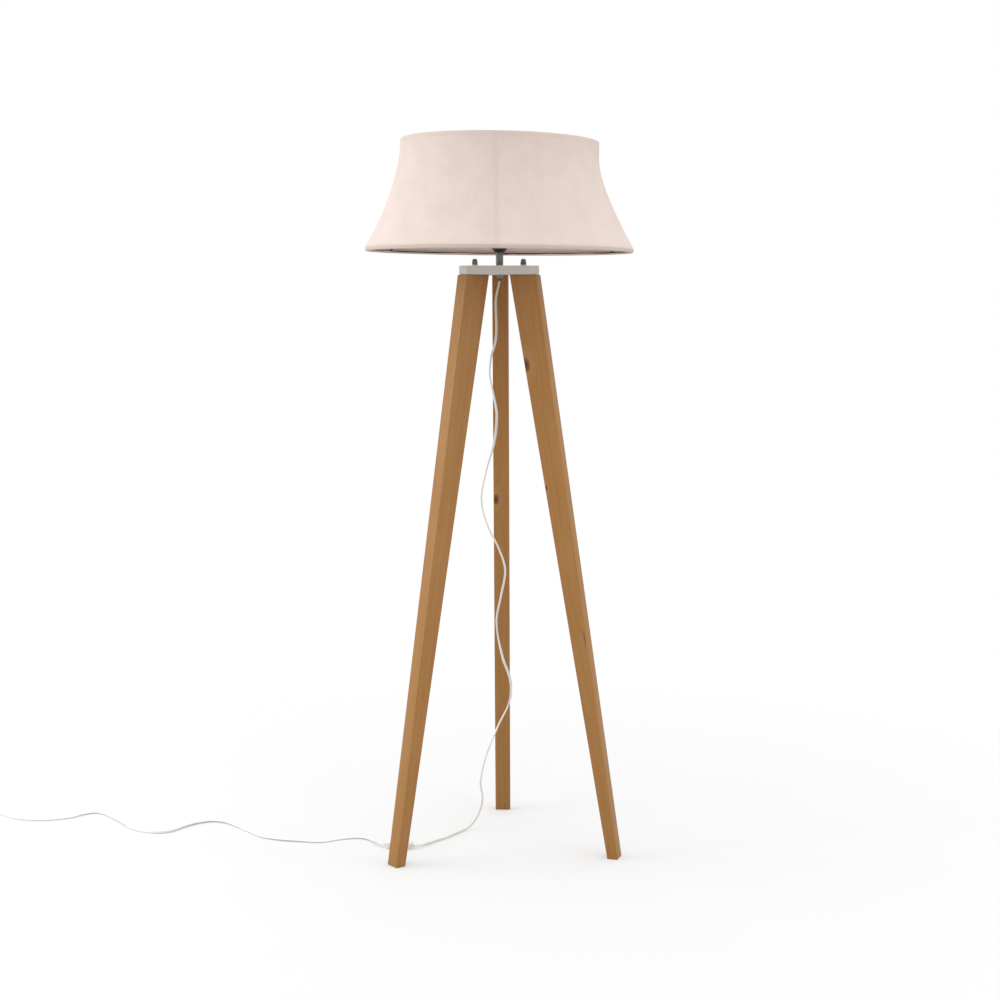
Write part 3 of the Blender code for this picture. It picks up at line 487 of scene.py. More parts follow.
# ------------------------------------------------------------------------- the lampholder
# A moulded black holder: a bell-shaped cap that screws on to the nipple, a barrel threaded
# outside for the ring nuts, and inside it a ceramic insert with a sprung centre contact and a
# side contact of brass.
BARREL_PITCH = 0.0025
BARREL_BORE_RADIUS = 0.0138


def moulded_plastic(name, light, dark, roughness, relief, grain=900.0):
    """Moulded plastic with the faint texture of its mould."""
    finish, tree, shader = new_finish(name, light, roughness[0])
    place = object_place(tree)
    texture = noise(tree, place, (grain, grain, grain), 2.0)
    flow = noise(tree, place, (45.0, 45.0, 45.0), 3.0)
    tree.links.new(tint(tree, share_of(tree, flow, 0.35, 0.7), light, dark),
                   shader.inputs["Base Color"])
    tree.links.new(share_of(tree, texture, 0.3, 0.7, *roughness), shader.inputs["Roughness"])
    raise_surface(tree, shader, texture, relief)
    return finish


def solid_turned(profile, reach, steps):
    """A turned piece without a bore: its profile starts and ends on the axis."""
    return turned(rounded(profile, reach), steps)


black_plastic = moulded_plastic("black_plastic", (0.012, 0.012, 0.013), (0.022, 0.021, 0.021),
                                (0.30, 0.44), 0.00003)
low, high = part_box("holder_cap")
outer = 0.5 * (high.x - low.x)
bell_outside = [(0.0053, low.z), (0.0098, low.z), (0.0112, low.z + 0.0014),
                (0.0166, low.z + 0.0088), (0.0184, low.z + 0.0130), (outer - 0.0004, low.z + 0.0185),
                (outer, low.z + 0.0192), (outer, high.z - 0.0005), (outer - 0.0005, high.z)]
bell_inside = [(outer - 0.0022, high.z), (outer - 0.0022, low.z + 0.0196), (0.0160, low.z + 0.0150),
               (0.0135, low.z + 0.0112), (0.0095, low.z + 0.0062), (0.0053, low.z + 0.0062)]
bell = turned_ring(bell_outside + bell_inside, 0.0006, 64)
add_piece("holder_bell", bell, black_plastic, "base", ["holder_cap"])

low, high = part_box("holder_barrel")
outer, inner = 0.5 * (high.x - low.x), BARREL_BORE_RADIUS
wall = rows_between(outer, low.z + 0.0008, high.z - 0.0008, BARREL_PITCH / THREAD_ROWS)
bore = rows_between(inner, high.z - 0.0006, low.z, BARREL_PITCH / THREAD_ROWS)
barrel = turned([(inner, low.z), (outer - 0.0008, low.z)] + wall
                + [(outer - 0.0010, high.z)] + bore, 64)
cut_thread(barrel, BARREL_PITCH, 0.0008, low=low.z + 0.0008, high=high.z - 0.0008,
           from_radius=outer - 0.0001)
add_piece("holder_threaded_barrel", barrel, black_plastic, "base",
          ["holder_barrel"], 60.0)

ceramic = moulded_plastic("insulator", (0.80, 0.78, 0.74), (0.72, 0.70, 0.66), (0.35, 0.55), 0.00004)
brass = metal("brass", (0.70, 0.54, 0.27), (0.58, 0.42, 0.19), (0.26, 0.40), (600.0, 600.0, 600.0))


def refinish(finish, *nodes):
    """Give CAD nodes that are carried over their finish."""
    for name in nodes:
        frame["nodes"][name].data.materials.clear()
        frame["nodes"][name].data.materials.append(finish)


refinish(ceramic, "holder_insert")
refinish(brass, "centre_contact", "side_contact")

# --------------------------------------------------------------------------- the ring nuts
# Two moulded rings with milled rims run on the barrel's thread and clamp the shade's carrier
# between them.
RIB_COUNT = 45
RIB_DEPTH = 0.0007
RING_NUT_BORE_RADIUS = 0.0193


def ring_nut(low, high, bore, outer):
    """A flat ring whose rim is milled with small ribs for the fingers."""
    shape = turned_ring([(bore, low), (outer, low), (outer, high), (bore, high)], 0.0007, 4 * RIB_COUNT)
    for point in shape.verts:
        radius = point.co.xy.length
        if radius > outer - 0.0004:
            wave = 0.5 + 0.5 * math.cos(RIB_COUNT * math.atan2(point.co.y, point.co.x))
            scale = 1.0 - RIB_DEPTH * wave / radius
            point.co.x *= scale
            point.co.y *= scale
    return shape


for name in ("ring_nut_lower", "ring_nut_upper"):
    low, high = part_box(name)
    nut = ring_nut(low.z, high.z, RING_NUT_BORE_RADIUS, 0.5 * (high.x - low.x))
    add_piece("milled_" + name, nut, black_plastic, "base", [name], 50.0)

# -------------------------------------------------------------------------------- the bulb
# A round opal bulb: a rolled and threaded cap of nickel-plated metal, a solder tip, and a blown
# glass that is white inside.
CAP_PITCH = 0.0036
CAP_THREAD_DEPTH = 0.0010
NECK_END = math.radians(-52.0)
GLASS_STEPS = 28


def opal_glass():
    """Blown glass, glossy outside and opal within."""
    finish, tree, shader = new_finish("bulb_glass", (0.90, 0.90, 0.88), 0.12)
    cloud = noise(tree, object_place(tree), (30.0, 30.0, 30.0), 3.0)
    tree.links.new(tint(tree, cloud, (0.93, 0.93, 0.91), (0.86, 0.86, 0.84)),
                   shader.inputs["Base Color"])
    tree.links.new(share_of(tree, cloud, 0.3, 0.7, 0.10, 0.16), shader.inputs["Roughness"])
    shader.inputs["Coat Weight"].default_value = 0.6
    return finish


nickel = metal("bulb_cap", (0.68, 0.67, 0.64), (0.54, 0.53, 0.50), (0.22, 0.36), (400.0, 400.0, 400.0))
low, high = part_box("bulb_cap")
outer = 0.5 * (high.x - low.x)
thread_low, thread_high = low.z + 0.0066, high.z - 0.0040
wall = rows_between(outer, thread_low, thread_high, CAP_PITCH / 12.0)
screw_cap = turned([(0.0, low.z), (0.0060, low.z), (0.0108, low.z + 0.0043),
                    (outer - 0.0008, low.z + 0.0060)]
                   + wall + [(outer - 0.0012, high.z - 0.0030), (outer - 0.0006, high.z - 0.0006),
                             (outer - 0.0016, high.z), (0.0, high.z)], 64)
cut_thread(screw_cap, CAP_PITCH, CAP_THREAD_DEPTH, low=thread_low, high=thread_high,
           from_radius=outer - 0.0001)
add_piece("bulb_screw_cap", screw_cap, nickel, "base", ["bulb_cap"], 50.0)
refinish(nickel, "bulb_tip")

low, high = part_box("bulb_glass")
radius = 0.5 * (high.x - low.x)
middle = high.z - radius
glass_profile = [Vector((0.0, low.z)), Vector((0.0122, low.z)), Vector((0.0126, low.z + 0.0010))]
neck_point = Vector((radius * math.cos(NECK_END), middle + radius * math.sin(NECK_END)))
glass_profile += interpolate_bezier(glass_profile[-1], Vector((0.0130, low.z + 0.0040)),
                                    neck_point - Vector((-math.sin(NECK_END), math.cos(NECK_END))) * 0.004,
                                    neck_point, 8)[1:-1]
for step in range(GLASS_STEPS + 1):
    angle = NECK_END + (0.5 * math.pi - NECK_END) * step / GLASS_STEPS
    glass_profile.append(Vector((radius * math.cos(angle), middle + radius * math.sin(angle))))
glass = turned([(point.x, point.y) for point in glass_profile], 64)
add_piece("opal_glass", glass, opal_glass(), "base", ["bulb_glass"], 50.0)

# --------------------------------------------------------------------------- the shade frame
# Six curved struts of 3 mm wire are welded between a top and a bottom ring of 4 mm wire, and
# three arms carry a flat ring that fits over the lampholder. All of it is dipped in black enamel.
SHADE_TOP_RADIUS = 0.2025
SHADE_HEM = 0.0070
SHADE_FLARE_POWER = 1.75
SHADE_LEAN = math.radians(0.45)
RING_WIRE = 0.0040
STRUT_WIRE = 0.0030
CLOTH_BUILD_UP = 0.0016
STRUT_INSET = 0.0018
STRUT_ROWS = 8
CARRIER_BORE_RADIUS = 0.0200
FLARE_END = 0.0055
STRUT_AZIMUTHS = [270.0 + 60.0 * number for number in range(6)]
ARM_AZIMUTHS = [90.0 + 120.0 * number for number in range(3)]
shade_low, shade_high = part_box("shade_cover")
shade_foot_radius = shade_high.x
carrier_low, carrier_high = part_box("carrier_ring")
carrier_middle = Vector((0.0, 0.0, 0.5 * (carrier_low.z + carrier_high.z)))
TOP_TILT = (-0.0118, -0.0160)
TOP_SETTLE = 0.0012
DENT = 0.0052
DENT_LOW, DENT_FULL, DENT_EASE = 1.290, 1.415, 1.470
lean = (Matrix.Translation(carrier_middle) @ Matrix.Rotation(SHADE_LEAN, 4, "Y")
        @ Matrix.Translation(-carrier_middle))


def shade_radius(height):
    """Outside radius of the shade at a height: it flares downwards and ends in an upright hem."""
    drop = shade_high.z - height
    full_drop = shade_high.z - shade_low.z - FLARE_END
    return SHADE_TOP_RADIUS + (shade_foot_radius - SHADE_TOP_RADIUS) * min(
        1.0, max(0.0, drop / full_drop)) ** SHADE_FLARE_POWER


def smooth_share(value, low, high):
    """A share from 0 at low to 1 at high, with soft ends."""
    share = min(1.0, max(0.0, (value - low) / (high - low)))
    return share * share * (3.0 - 2.0 * share)


def settled(point):
    """Where a point of the shade has come to rest. The shade leans to the right, its upper ring is
    bent a little further, and it is pressed in slightly on its right side."""
    moved = point.copy()
    share = smooth_share(point.z, shade_low.z, shade_high.z)
    moved.z += share * (TOP_TILT[0] * point.x + TOP_TILT[1] * point.y - TOP_SETTLE)
    pressed = smooth_share(point.z, DENT_LOW, DENT_FULL)
    pressed *= 1.0 - 0.75 * smooth_share(point.z, DENT_FULL, DENT_EASE)
    radius = point.xy.length
    dent = DENT * pressed * max(0.0, point.x / radius) ** 2
    moved.x *= 1.0 - dent / radius
    moved.y *= 1.0 - dent / radius
    return lean @ moved


def polar(radius, degrees, height):
    """A point at a radius, an azimuth and a height."""
    angle = math.radians(degrees)
    return Vector((radius * math.cos(angle), radius * math.sin(angle), height))


def enamelled_wire():
    """Black enamel, slightly uneven where it ran along the wire."""
    finish, tree, shader = new_finish("black_wire", (0.020, 0.020, 0.020), 0.35)
    run = noise(tree, object_place(tree), (220.0, 220.0, 220.0), 3.0)
    tree.links.new(tint(tree, run, (0.016, 0.016, 0.016), (0.034, 0.033, 0.032)),
                   shader.inputs["Base Color"])
    tree.links.new(share_of(tree, run, 0.3, 0.7, 0.26, 0.46), shader.inputs["Roughness"])
    raise_surface(tree, shader, run, 0.00012)
    return finish


def wire(name, points, diameter, finish, node):
    """A smooth round wire through a row of points."""
    curve = bpy.data.curves.new(name, "CURVE")
    curve.dimensions = "3D"
    curve.bevel_depth = 0.5 * diameter
    curve.bevel_resolution = 4
    curve.resolution_u = 8
    curve.use_fill_caps = True
    curve.materials.append(finish)
    spline = curve.splines.new("BEZIER")
    spline.bezier_points.add(len(points) - 1)
    for knot, point in zip(spline.bezier_points, points):
        knot.co = point
        knot.handle_left_type = "AUTO"
        knot.handle_right_type = "AUTO"
    piece = bpy.data.objects.new(name, curve)
    bpy.context.scene.collection.objects.link(piece)
    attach(piece, "shade")
    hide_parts(node)


enamel = enamelled_wire()
ring_radii = {}
for name in ("shade_ring_top", "shade_ring_bottom"):
    low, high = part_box(name)
    ring_radii[name] = high.x - 0.5 * RING_WIRE
    section = [(ring_radii[name] + 0.5 * RING_WIRE * math.cos(angle),
                0.5 * (low.z + high.z) + 0.5 * RING_WIRE * math.sin(angle))
               for angle in (2.0 * math.pi * side / 12 for side in range(13))]
    ring = turned(section, 144)
    for point in ring.verts:
        point.co = settled(point.co)
    add_piece("enamelled_" + name, ring, enamel, "shade", [name], 60.0)

strut_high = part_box("shade_ring_top")[0].z + 0.0006
strut_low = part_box("shade_ring_bottom")[1].z - 0.0006
for number, azimuth in enumerate(STRUT_AZIMUTHS, 1):
    strut = []
    for row in range(STRUT_ROWS + 1):
        height = strut_high + (strut_low - strut_high) * row / STRUT_ROWS
        reach = shade_radius(height) - CLOTH_BUILD_UP - 0.5 * STRUT_WIRE - STRUT_INSET
        strut.append(settled(polar(reach, azimuth, height)))
    wire("bent_strut_%d" % number, strut, STRUT_WIRE, enamel, "shade_strut_%d" % number)

carrier_outer, carrier_inner = carrier_high.x, CARRIER_BORE_RADIUS
carrier = turned_ring([(carrier_inner, carrier_low.z), (carrier_outer, carrier_low.z),
                       (carrier_outer, carrier_high.z), (carrier_inner, carrier_high.z)], 0.0005, 96)
add_piece("carrier_plate", carrier, enamel, "shade", ["carrier_ring"])
arm_foot = 0.5 * sum(corner.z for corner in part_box("shade_ring_bottom"))
for number, azimuth in enumerate(ARM_AZIMUTHS, 1):
    ring_end = ring_radii["shade_ring_bottom"] - 0.5 * RING_WIRE + 0.0005
    arm = [polar(carrier_outer - 0.0005, azimuth, carrier_middle.z),
           polar(carrier_outer + 0.020, azimuth, carrier_middle.z)]
    arm += [lean @ polar(carrier_outer + 0.045, azimuth, carrier_middle.z - 0.006),
            lean @ polar(ring_end - 0.022, azimuth, arm_foot + 0.004),
            lean @ polar(ring_end, azimuth, arm_foot)]
    wire("bent_arm_%d" % number, arm, STRUT_WIRE, enamel, "carrier_arm_%d" % number)

# ------------------------------------------------------------------------------ the shade
# One strip of blush linen, cut on a curve, is stretched round the frame, lapped and glued in one
# upright seam at the front, and turned in over the top and bottom edges as narrow hems.
CLOTH = 0.0006
HEM_TURN = 0.0062
HEM_GAP = 0.0004
HEM_ROLL = [(-0.0014, 0.0066), (-0.0012, 0.0045), (-0.0017, 0.0022), (-0.0026, 0.0008),
            (-0.0040, 0.0003), (-0.0054, 0.0005), (-0.0063, 0.0012), (-0.0066, 0.0020),
            (-0.0066, 0.0027)]
LIP_RISE = 0.0017
ARM_CLEARANCE = 4.0
SHADE_STEPS = 180
SHADE_ROWS = 40
SEAM_AZIMUTH = math.radians(-90.7)
SEAM_DRIFT = math.radians(1.9)
SEAM_LAP = 0.0075
SEAM_RAISE = 0.0007
SEAM_SINK = 0.0012
SEAM_REACH = 0.026
PUCKER = 0.00012
LINEN_LIGHT = (0.810, 0.684, 0.621)
LINEN_DARK = (0.760, 0.630, 0.567)
# Painted shade: the colour the linen is darkened to where it lies double, at the hems and the seam lap, for the
# light that doubled cloth holds back.
LINEN_DOUBLED_SHADE = (0.60, 0.46, 0.385)
THREAD_PITCH = 0.00075


def linen():
    """Plain-weave linen. The map runs round the shade from the seam, and up the slope, in metres."""
    finish, tree, shader = new_finish("linen", LINEN_LIGHT, 0.90)
    place = add_step(tree, "UVMap", uv_map="cloth").outputs[0]
    parts = add_step(tree, "SeparateXYZ", {0: place})
    turns = 2.0 * math.pi / THREAD_PITCH
    wander = noise(tree, place, (60.0, 60.0, 1.0), 2.0)
    threads = []
    for along in parts.outputs[:2]:
        phase = sum_of(tree, sum_of(tree, along, turns, "MULTIPLY"),
                       sum_of(tree, wander, 5.0, "MULTIPLY"))
        threads.append(add_step(tree, "Math", {0: phase}, operation="SINE").outputs[0])
    weave = sum_of(tree, threads[0], threads[1], "MULTIPLY")
    warp_slub = noise(tree, place, (1100.0, 26.0, 1.0), 3.0)
    weft_slub = noise(tree, place, (22.0, 1300.0, 1.0), 3.0)
    cloud = noise(tree, place, (22.0, 22.0, 1.0), 4.0)
    slub = sum_of(tree, sum_of(tree, warp_slub, weft_slub), 0.5, "MULTIPLY")
    tone = sum_of(tree, sum_of(tree, slub, 0.6, "MULTIPLY"), sum_of(tree, cloud, 0.4, "MULTIPLY"))
    cloth = tint(tree, share_of(tree, tone, 0.38, 0.62), LINEN_LIGHT, LINEN_DARK)
    # Painted shade: darken the cloth where it lies double, at the hems and the seam lap.
    lap = add_step(tree, "Attribute", attribute_name="double_cloth_shade").outputs["Fac"]
    cloth = tint(tree, sum_of(tree, lap, 0.55, "MULTIPLY"), cloth, LINEN_DOUBLED_SHADE)
    tree.links.new(cloth, shader.inputs["Base Color"])
    shader.inputs["Sheen Weight"].default_value = 0.15
    shader.inputs["Sheen Roughness"].default_value = 0.6
    height = sum_of(tree, sum_of(tree, weave, 0.25, "MULTIPLY"), slub)
    raise_surface(tree, shader, height, 0.00025)
    return finish


def shade_line():
    """The cloth's section: the turned-in top hem, the outside, and the hem that is rolled under
    the bottom ring and ends in a lip inside it."""
    inset = CLOTH + HEM_GAP
    top = shade_high.z - 0.5 * CLOTH
    line = [(shade_radius(top) - inset - 0.5 * CLOTH, top - HEM_TURN * share)
            for share in (1.0, 0.66, 0.33)]
    line.append((shade_radius(top) - inset - 0.3 * CLOTH, top - 0.0006))
    line.append((shade_radius(top) - 0.5 * inset - 0.5 * CLOTH, top))
    crease = shade_low.z + SHADE_HEM
    for row in range(SHADE_ROWS + 1):
        height = top - 0.0006 + (crease - top + 0.0006) * row / SHADE_ROWS
        line.append((shade_radius(height) - 0.5 * CLOTH, height))
    line += [(shade_foot_radius + away, shade_low.z + up) for away, up in HEM_ROLL]
    return line


def seam_distance(point):
    """How far a point is from the seam, measured round the shade, positive to the right. The seam
    drifts to the right as it comes down."""
    below = (shade_high.z - point.z) / (shade_high.z - shade_low.z)
    turn = math.atan2(point.y, point.x) - SEAM_AZIMUTH - SEAM_DRIFT * (1.0 - (1.0 - below) ** 2)
    turn = (turn + math.pi) % (2.0 * math.pi) - math.pi
    return turn * point.xy.length


def lip_lift(point):
    """How much higher or lower the hem's inner lip ends: it is uneven, and low at the arms."""
    share = min(1.0, (point.z - shade_low.z) / HEM_ROLL[-1][1])
    turn = math.atan2(point.y, point.x)
    uneven = 0.5 + 0.3 * math.sin(7.0 * turn + 1.0) + 0.2 * math.sin(17.0 * turn)
    to_arm = min(abs((math.degrees(turn) - azimuth + 180.0) % 360.0 - 180.0) for azimuth in ARM_AZIMUTHS)
    free = smooth_share(to_arm, 0.5, ARM_CLEARANCE)
    return share * share * (LIP_RISE * uneven * free - 0.0010 * (1.0 - free))


def make_shade():
    """The cloth, finely divided near its seam, with the lap raised, and its map in metres."""
    line = shade_line()
    shape = turned(line, SHADE_STEPS)
    near = []
    for edge in shape.edges:
        ends = [seam_distance(corner.co) for corner in edge.verts]
        level = abs(edge.verts[0].co.z - edge.verts[1].co.z) < 0.00001
        if level and max(map(abs, ends)) < 0.028 and abs(ends[0] - ends[1]) > 0.002:
            near.append(edge)
    bmesh.ops.subdivide_edges(shape, edges=near, cuts=5, use_grid_fill=True)
    full_height = shade_high.z - shade_low.z
    doubled_shade = shape.verts.layers.float.new("double_cloth_shade")
    uv = shape.loops.layers.uv.new("cloth")
    lengths = [0.0]
    for start, end in zip(line, line[1:]):
        lengths.append(lengths[-1] + (Vector(end) - Vector(start)).length)
    mean_radius = 0.5 * (SHADE_TOP_RADIUS + shade_foot_radius)
    for point in shape.verts:
        away = seam_distance(point.co)
        lap = smooth_share(away, -SEAM_LAP - 0.0010, -SEAM_LAP) * smooth_share(away, 0.0020, 0.0)
        crease = smooth_share(abs(away), SEAM_REACH, 0.0)
        crease *= smooth_share(point.co.z - shade_low.z, SHADE_HEM, 4.0 * SHADE_HEM)
        up = point.co.z / full_height
        pucker = math.sin(1.0 + 46.0 * up) * math.sin(9.0 * up) * smooth_share(abs(away), 0.05, 0.0)
        swell = SEAM_RAISE * lap - SEAM_SINK * crease + PUCKER * pucker
        radius = point.co.xy.length
        point.co.x *= 1.0 + swell / radius
        point.co.y *= 1.0 + swell / radius
        # Painted shade: how much each point is darkened as doubled cloth. It is darkest at the bottom hem, half as
        # dark at the top hem, and lighter along the seam lap.
        hem_top = shade_low.z + SHADE_HEM
        hem = smooth_share(point.co.z, hem_top + 0.0012, hem_top - 0.0002)
        top_hem = smooth_share(point.co.z, shade_high.z - 0.0075, shade_high.z - 0.0055)
        point[doubled_shade] = min(1.0, 0.85 * max(hem, 0.5 * top_hem) + 0.30 * lap)
        if radius < shade_foot_radius - 0.0060 and point.co.z < shade_low.z + 0.0040:
            point.co.z += lip_lift(point.co)
    for face in shape.faces:
        centre_turn = math.atan2(face.calc_center_median().y, face.calc_center_median().x)
        for corner in face.loops:
            turn = math.atan2(corner.vert.co.y, corner.vert.co.x)
            turn = centre_turn + (turn - centre_turn + math.pi) % (2.0 * math.pi) - math.pi
            slope = 1.06 * (shade_high.z - corner.vert.co.z)
            corner[uv].uv = (turn * mean_radius, slope)
    for point in shape.verts:
        point.co = settled(point.co)
    bmesh.ops.recalc_face_normals(shape, faces=shape.faces)
    return shape, lengths[-1]


shade_shape, cloth_width = make_shade()
cover = add_piece("linen_shade", shade_shape, linen(), "shade", ["shade_cover"], 50.0)
thickness = cover.modifiers.new("cloth thickness", "SOLIDIFY")
thickness.thickness = CLOTH
thickness.offset = 0.0

# -------------------------------------------------------------------------------- the lead
# White flat two-core lead, 5.6 by 3.2 mm. It leaves the nipple by a tapered bush, hangs in long
# loose curls to the floor, runs to the in-line switch, and on over the floor to a small coil of
# spare length and the plug.
LEAD_WIDTH = 0.0056
CORE_RADIUS = 0.0016
CORE_OFFSET = 0.0012
LEAD_ON_FLOOR = 0.0030
LEAD_STEP = 0.0040
HANGING_ROUTE = [
    (0.0000, 0.0000, 1.1872), (-0.0014, 0.0002, 1.1800), (-0.0040, 0.0004, 1.1700),
    (-0.0064, 0.0008, 1.1580), (-0.0080, 0.0013, 1.1450), (-0.0074, 0.0024, 1.1210),
    (-0.0064, 0.0040, 1.0930), (-0.0072, 0.0052, 1.0750), (-0.0098, 0.0062, 1.0580),
    (-0.0170, 0.0078, 1.0350), (-0.0204, 0.0100, 0.9950), (-0.0120, 0.0133, 0.9500),
    (-0.0062, 0.0164, 0.9093), (-0.0121, 0.0206, 0.8526), (-0.0285, 0.0249, 0.7935),
    (-0.0389, 0.0295, 0.7340), (-0.0275, 0.0346, 0.6805), (-0.0025, 0.0402, 0.6267),
    (0.0106, 0.0448, 0.5812), (0.0016, 0.0498, 0.5246), (-0.0082, 0.0551, 0.4675),
    (0.0038, 0.0630, 0.3924), (0.0214, 0.0691, 0.3366), (0.0195, 0.0737, 0.2918),
    (-0.0057, 0.0790, 0.2354), (-0.0260, 0.0836, 0.1854), (-0.0366, 0.0875, 0.1488),
    (-0.0441, 0.0938, 0.1091), (-0.0431, 0.0962, 0.0928), (-0.0402, 0.0990, 0.0741),
    (-0.0419, 0.1020, 0.0553), (-0.0476, 0.1035, 0.0369), (-0.0571, 0.1030, 0.0190),
    (-0.0676, 0.0980, 0.0076), (-0.0790, 0.0850, LEAD_ON_FLOOR),
    (-0.1158, 0.0271, LEAD_ON_FLOOR), (-0.1397, 0.0007, LEAD_ON_FLOOR),
    (-0.1480, -0.0110, 0.0032), (-0.1670, -0.0355, 0.0059), (-0.1791, -0.0414, 0.0072),
]
FLOOR_ROUTE = [
    (-0.2405, -0.0374, 0.0072), (-0.2490, -0.0330, 0.0070), (-0.2590, -0.0165, 0.0056),
    (-0.2700, -0.0010, 0.0038), (-0.2840, 0.0145, LEAD_ON_FLOOR),
    (-0.3024, 0.0218, LEAD_ON_FLOOR), (-0.3407, 0.0129, LEAD_ON_FLOOR),
    (-0.3775, -0.0070, LEAD_ON_FLOOR), (-0.4202, -0.0055, LEAD_ON_FLOOR),
    (-0.4710, 0.0040, LEAD_ON_FLOOR), (-0.5103, 0.0231, LEAD_ON_FLOOR),
    (-0.5507, 0.0653, LEAD_ON_FLOOR), (-0.5884, 0.1065, LEAD_ON_FLOOR),
    (-0.6158, 0.1264, LEAD_ON_FLOOR), (-0.6441, 0.1307, LEAD_ON_FLOOR),
    (-0.6790, 0.1070, LEAD_ON_FLOOR), (-0.7181, 0.0523, LEAD_ON_FLOOR),
    (-0.7443, 0.0451, LEAD_ON_FLOOR), (-0.7801, 0.0554, LEAD_ON_FLOOR),
    (-0.8151, 0.0841, LEAD_ON_FLOOR), (-0.8771, 0.1620, LEAD_ON_FLOOR),
    (-0.8999, 0.1828, LEAD_ON_FLOOR), (-0.9183, 0.1875, LEAD_ON_FLOOR),
    (-0.9429, 0.1715, LEAD_ON_FLOOR), (-0.9629, 0.1488, LEAD_ON_FLOOR),
    (-1.0185, 0.1290, LEAD_ON_FLOOR), (-1.0801, 0.1392, LEAD_ON_FLOOR),
    (-1.1135, 0.1632, LEAD_ON_FLOOR), (-1.1330, 0.1780, LEAD_ON_FLOOR),
]
TAIL_ROUTE = [
    (-1.1867, 0.1288, LEAD_ON_FLOOR), (-1.1828, 0.1180, 0.0034),
    (-1.1804, 0.1040, 0.0060), (-1.1800, 0.0908, 0.0070),
]
COIL_OUTER = 0.0332
COIL_INNER = 0.0270
COIL_TOP = 0.0298
COIL_START = math.radians(62.0)
COIL_END = math.radians(204.0)
COIL_FLAT_TURNS = 2
COIL_POINTS = 24
LAYER = 0.0034


def coil_route():
    """Two flat turns, the second inside the first, and part of a third that lies on them."""
    low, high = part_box("lead_coil")
    centre = 0.5 * (low + high)
    start, end = COIL_START, COIL_END + 2.0 * math.pi * COIL_FLAT_TURNS
    flat_end = start + 2.0 * math.pi * COIL_FLAT_TURNS
    count = round(COIL_POINTS * (end - start) / (2.0 * math.pi))
    route = []
    for index in range(count + 1):
        angle = start + (end - start) * index / count
        inwards = smooth_share(angle, start + 0.75 * 2.0 * math.pi, start + 1.15 * 2.0 * math.pi)
        up = smooth_share(angle, flat_end - 0.25, flat_end + 0.75)
        radius = COIL_OUTER + (COIL_INNER - COIL_OUTER) * inwards + (COIL_TOP - COIL_INNER) * up
        route.append((centre.x + radius * math.cos(angle), centre.y + radius * math.sin(angle),
                      LEAD_ON_FLOOR + LAYER * up))
    return route


def smooth_route(route, step):
    """Evenly spaced points on a smooth curve through a route's own points, none below the floor."""
    route = [Vector(point) for point in route]
    tangents = []
    for index, point in enumerate(route):
        before = route[max(index - 1, 0)]
        after = route[min(index + 1, len(route) - 1)]
        tangents.append((after - before).normalized())
    fine = [route[0]]
    for index in range(len(route) - 1):
        start, end = route[index], route[index + 1]
        reach = (end - start).length / 3.0
        piece = interpolate_bezier(start, start + tangents[index] * reach,
                                   end - tangents[index + 1] * reach, end, 17)
        fine.extend(Vector((x, y, max(z, LEAD_ON_FLOOR))) for x, y, z in piece[1:])
    lengths = [0.0]
    for start, end in zip(fine, fine[1:]):
        lengths.append(lengths[-1] + (end - start).length)
    count = max(2, round(lengths[-1] / step))
    points = []
    segment = 0
    for index in range(count + 1):
        target = lengths[-1] * index / count
        while segment < len(fine) - 2 and lengths[segment + 1] < target:
            segment += 1
        share = (target - lengths[segment]) / (lengths[segment + 1] - lengths[segment])
        points.append(fine[segment].lerp(fine[segment + 1], min(1.0, share)))
    return points, lengths[-1]


def lead_section():
    """Outline of the flat lead: two round cores side by side, joined by a web."""
    reach = math.pi - math.acos(CORE_OFFSET / CORE_RADIUS)
    outline = []
    steps = 9
    for side in (1.0, -1.0):
        for step in range(steps):
            angle = -reach + 2.0 * reach * (step + 0.5) / steps
            outline.append((side * (CORE_OFFSET + CORE_RADIUS * math.cos(angle)),
                            side * CORE_RADIUS * math.sin(angle)))
    return outline


def lay_lead(points, twist):
    """Sweep the flat section along points. It lies flat at the last point but for its twist there,
    and where it touches the floor it comes down to rest on its own thickness."""
    tangents = []
    for index, point in enumerate(points):
        before, after = points[max(index - 1, 0)], points[min(index + 1, len(points) - 1)]
        tangents.append((after - before).normalized())
    side = Vector((0.0, 0.0, 1.0)).cross(tangents[-1]).normalized()
    frames = []
    for index in reversed(range(len(points))):
        tangent = tangents[index]
        side = (side - tangent * side.dot(tangent)).normalized()
        angle = twist(index / (len(points) - 1))
        turned_side = Matrix.Rotation(angle, 3, tangent) @ side
        place = points[index].copy()
        stands = CORE_RADIUS + CORE_OFFSET * abs(turned_side.z)
        settled = smooth_share(place.z, LEAD_ON_FLOOR + 0.012, LEAD_ON_FLOOR)
        flat = 1.0 - abs(tangent.z)
        place.z -= (0.5 * LEAD_WIDTH - stands) * settled * flat
        upright = tangent.cross(turned_side)
        turn = Matrix((turned_side, upright, tangent)).transposed().to_4x4()
        frames.append(Matrix.Translation(place) @ turn)
    frames.reverse()
    shape = bmesh.new()
    ring = [shape.verts.new(frames[0] @ Vector((x, y, 0.0))) for x, y in lead_section()]
    edges = [shape.edges.new(pair) for pair in zip(ring, ring[1:] + ring[:1])]
    shape.faces.new(ring)
    for before, after in zip(frames, frames[1:]):
        extruded = bmesh.ops.extrude_edge_only(shape, edges=edges)["geom"]
        corners = [item for item in extruded if isinstance(item, bmesh.types.BMVert)]
        edges = [item for item in extruded if isinstance(item, bmesh.types.BMEdge)]
        edges = [edge for edge in edges if all(end in corners for end in edge.verts)]
        bmesh.ops.transform(shape, matrix=after @ before.inverted(), verts=corners)
    bmesh.ops.holes_fill(shape, edges=edges)
    bmesh.ops.recalc_face_normals(shape, faces=shape.faces)
    return shape, [matrix.translation for matrix in frames]


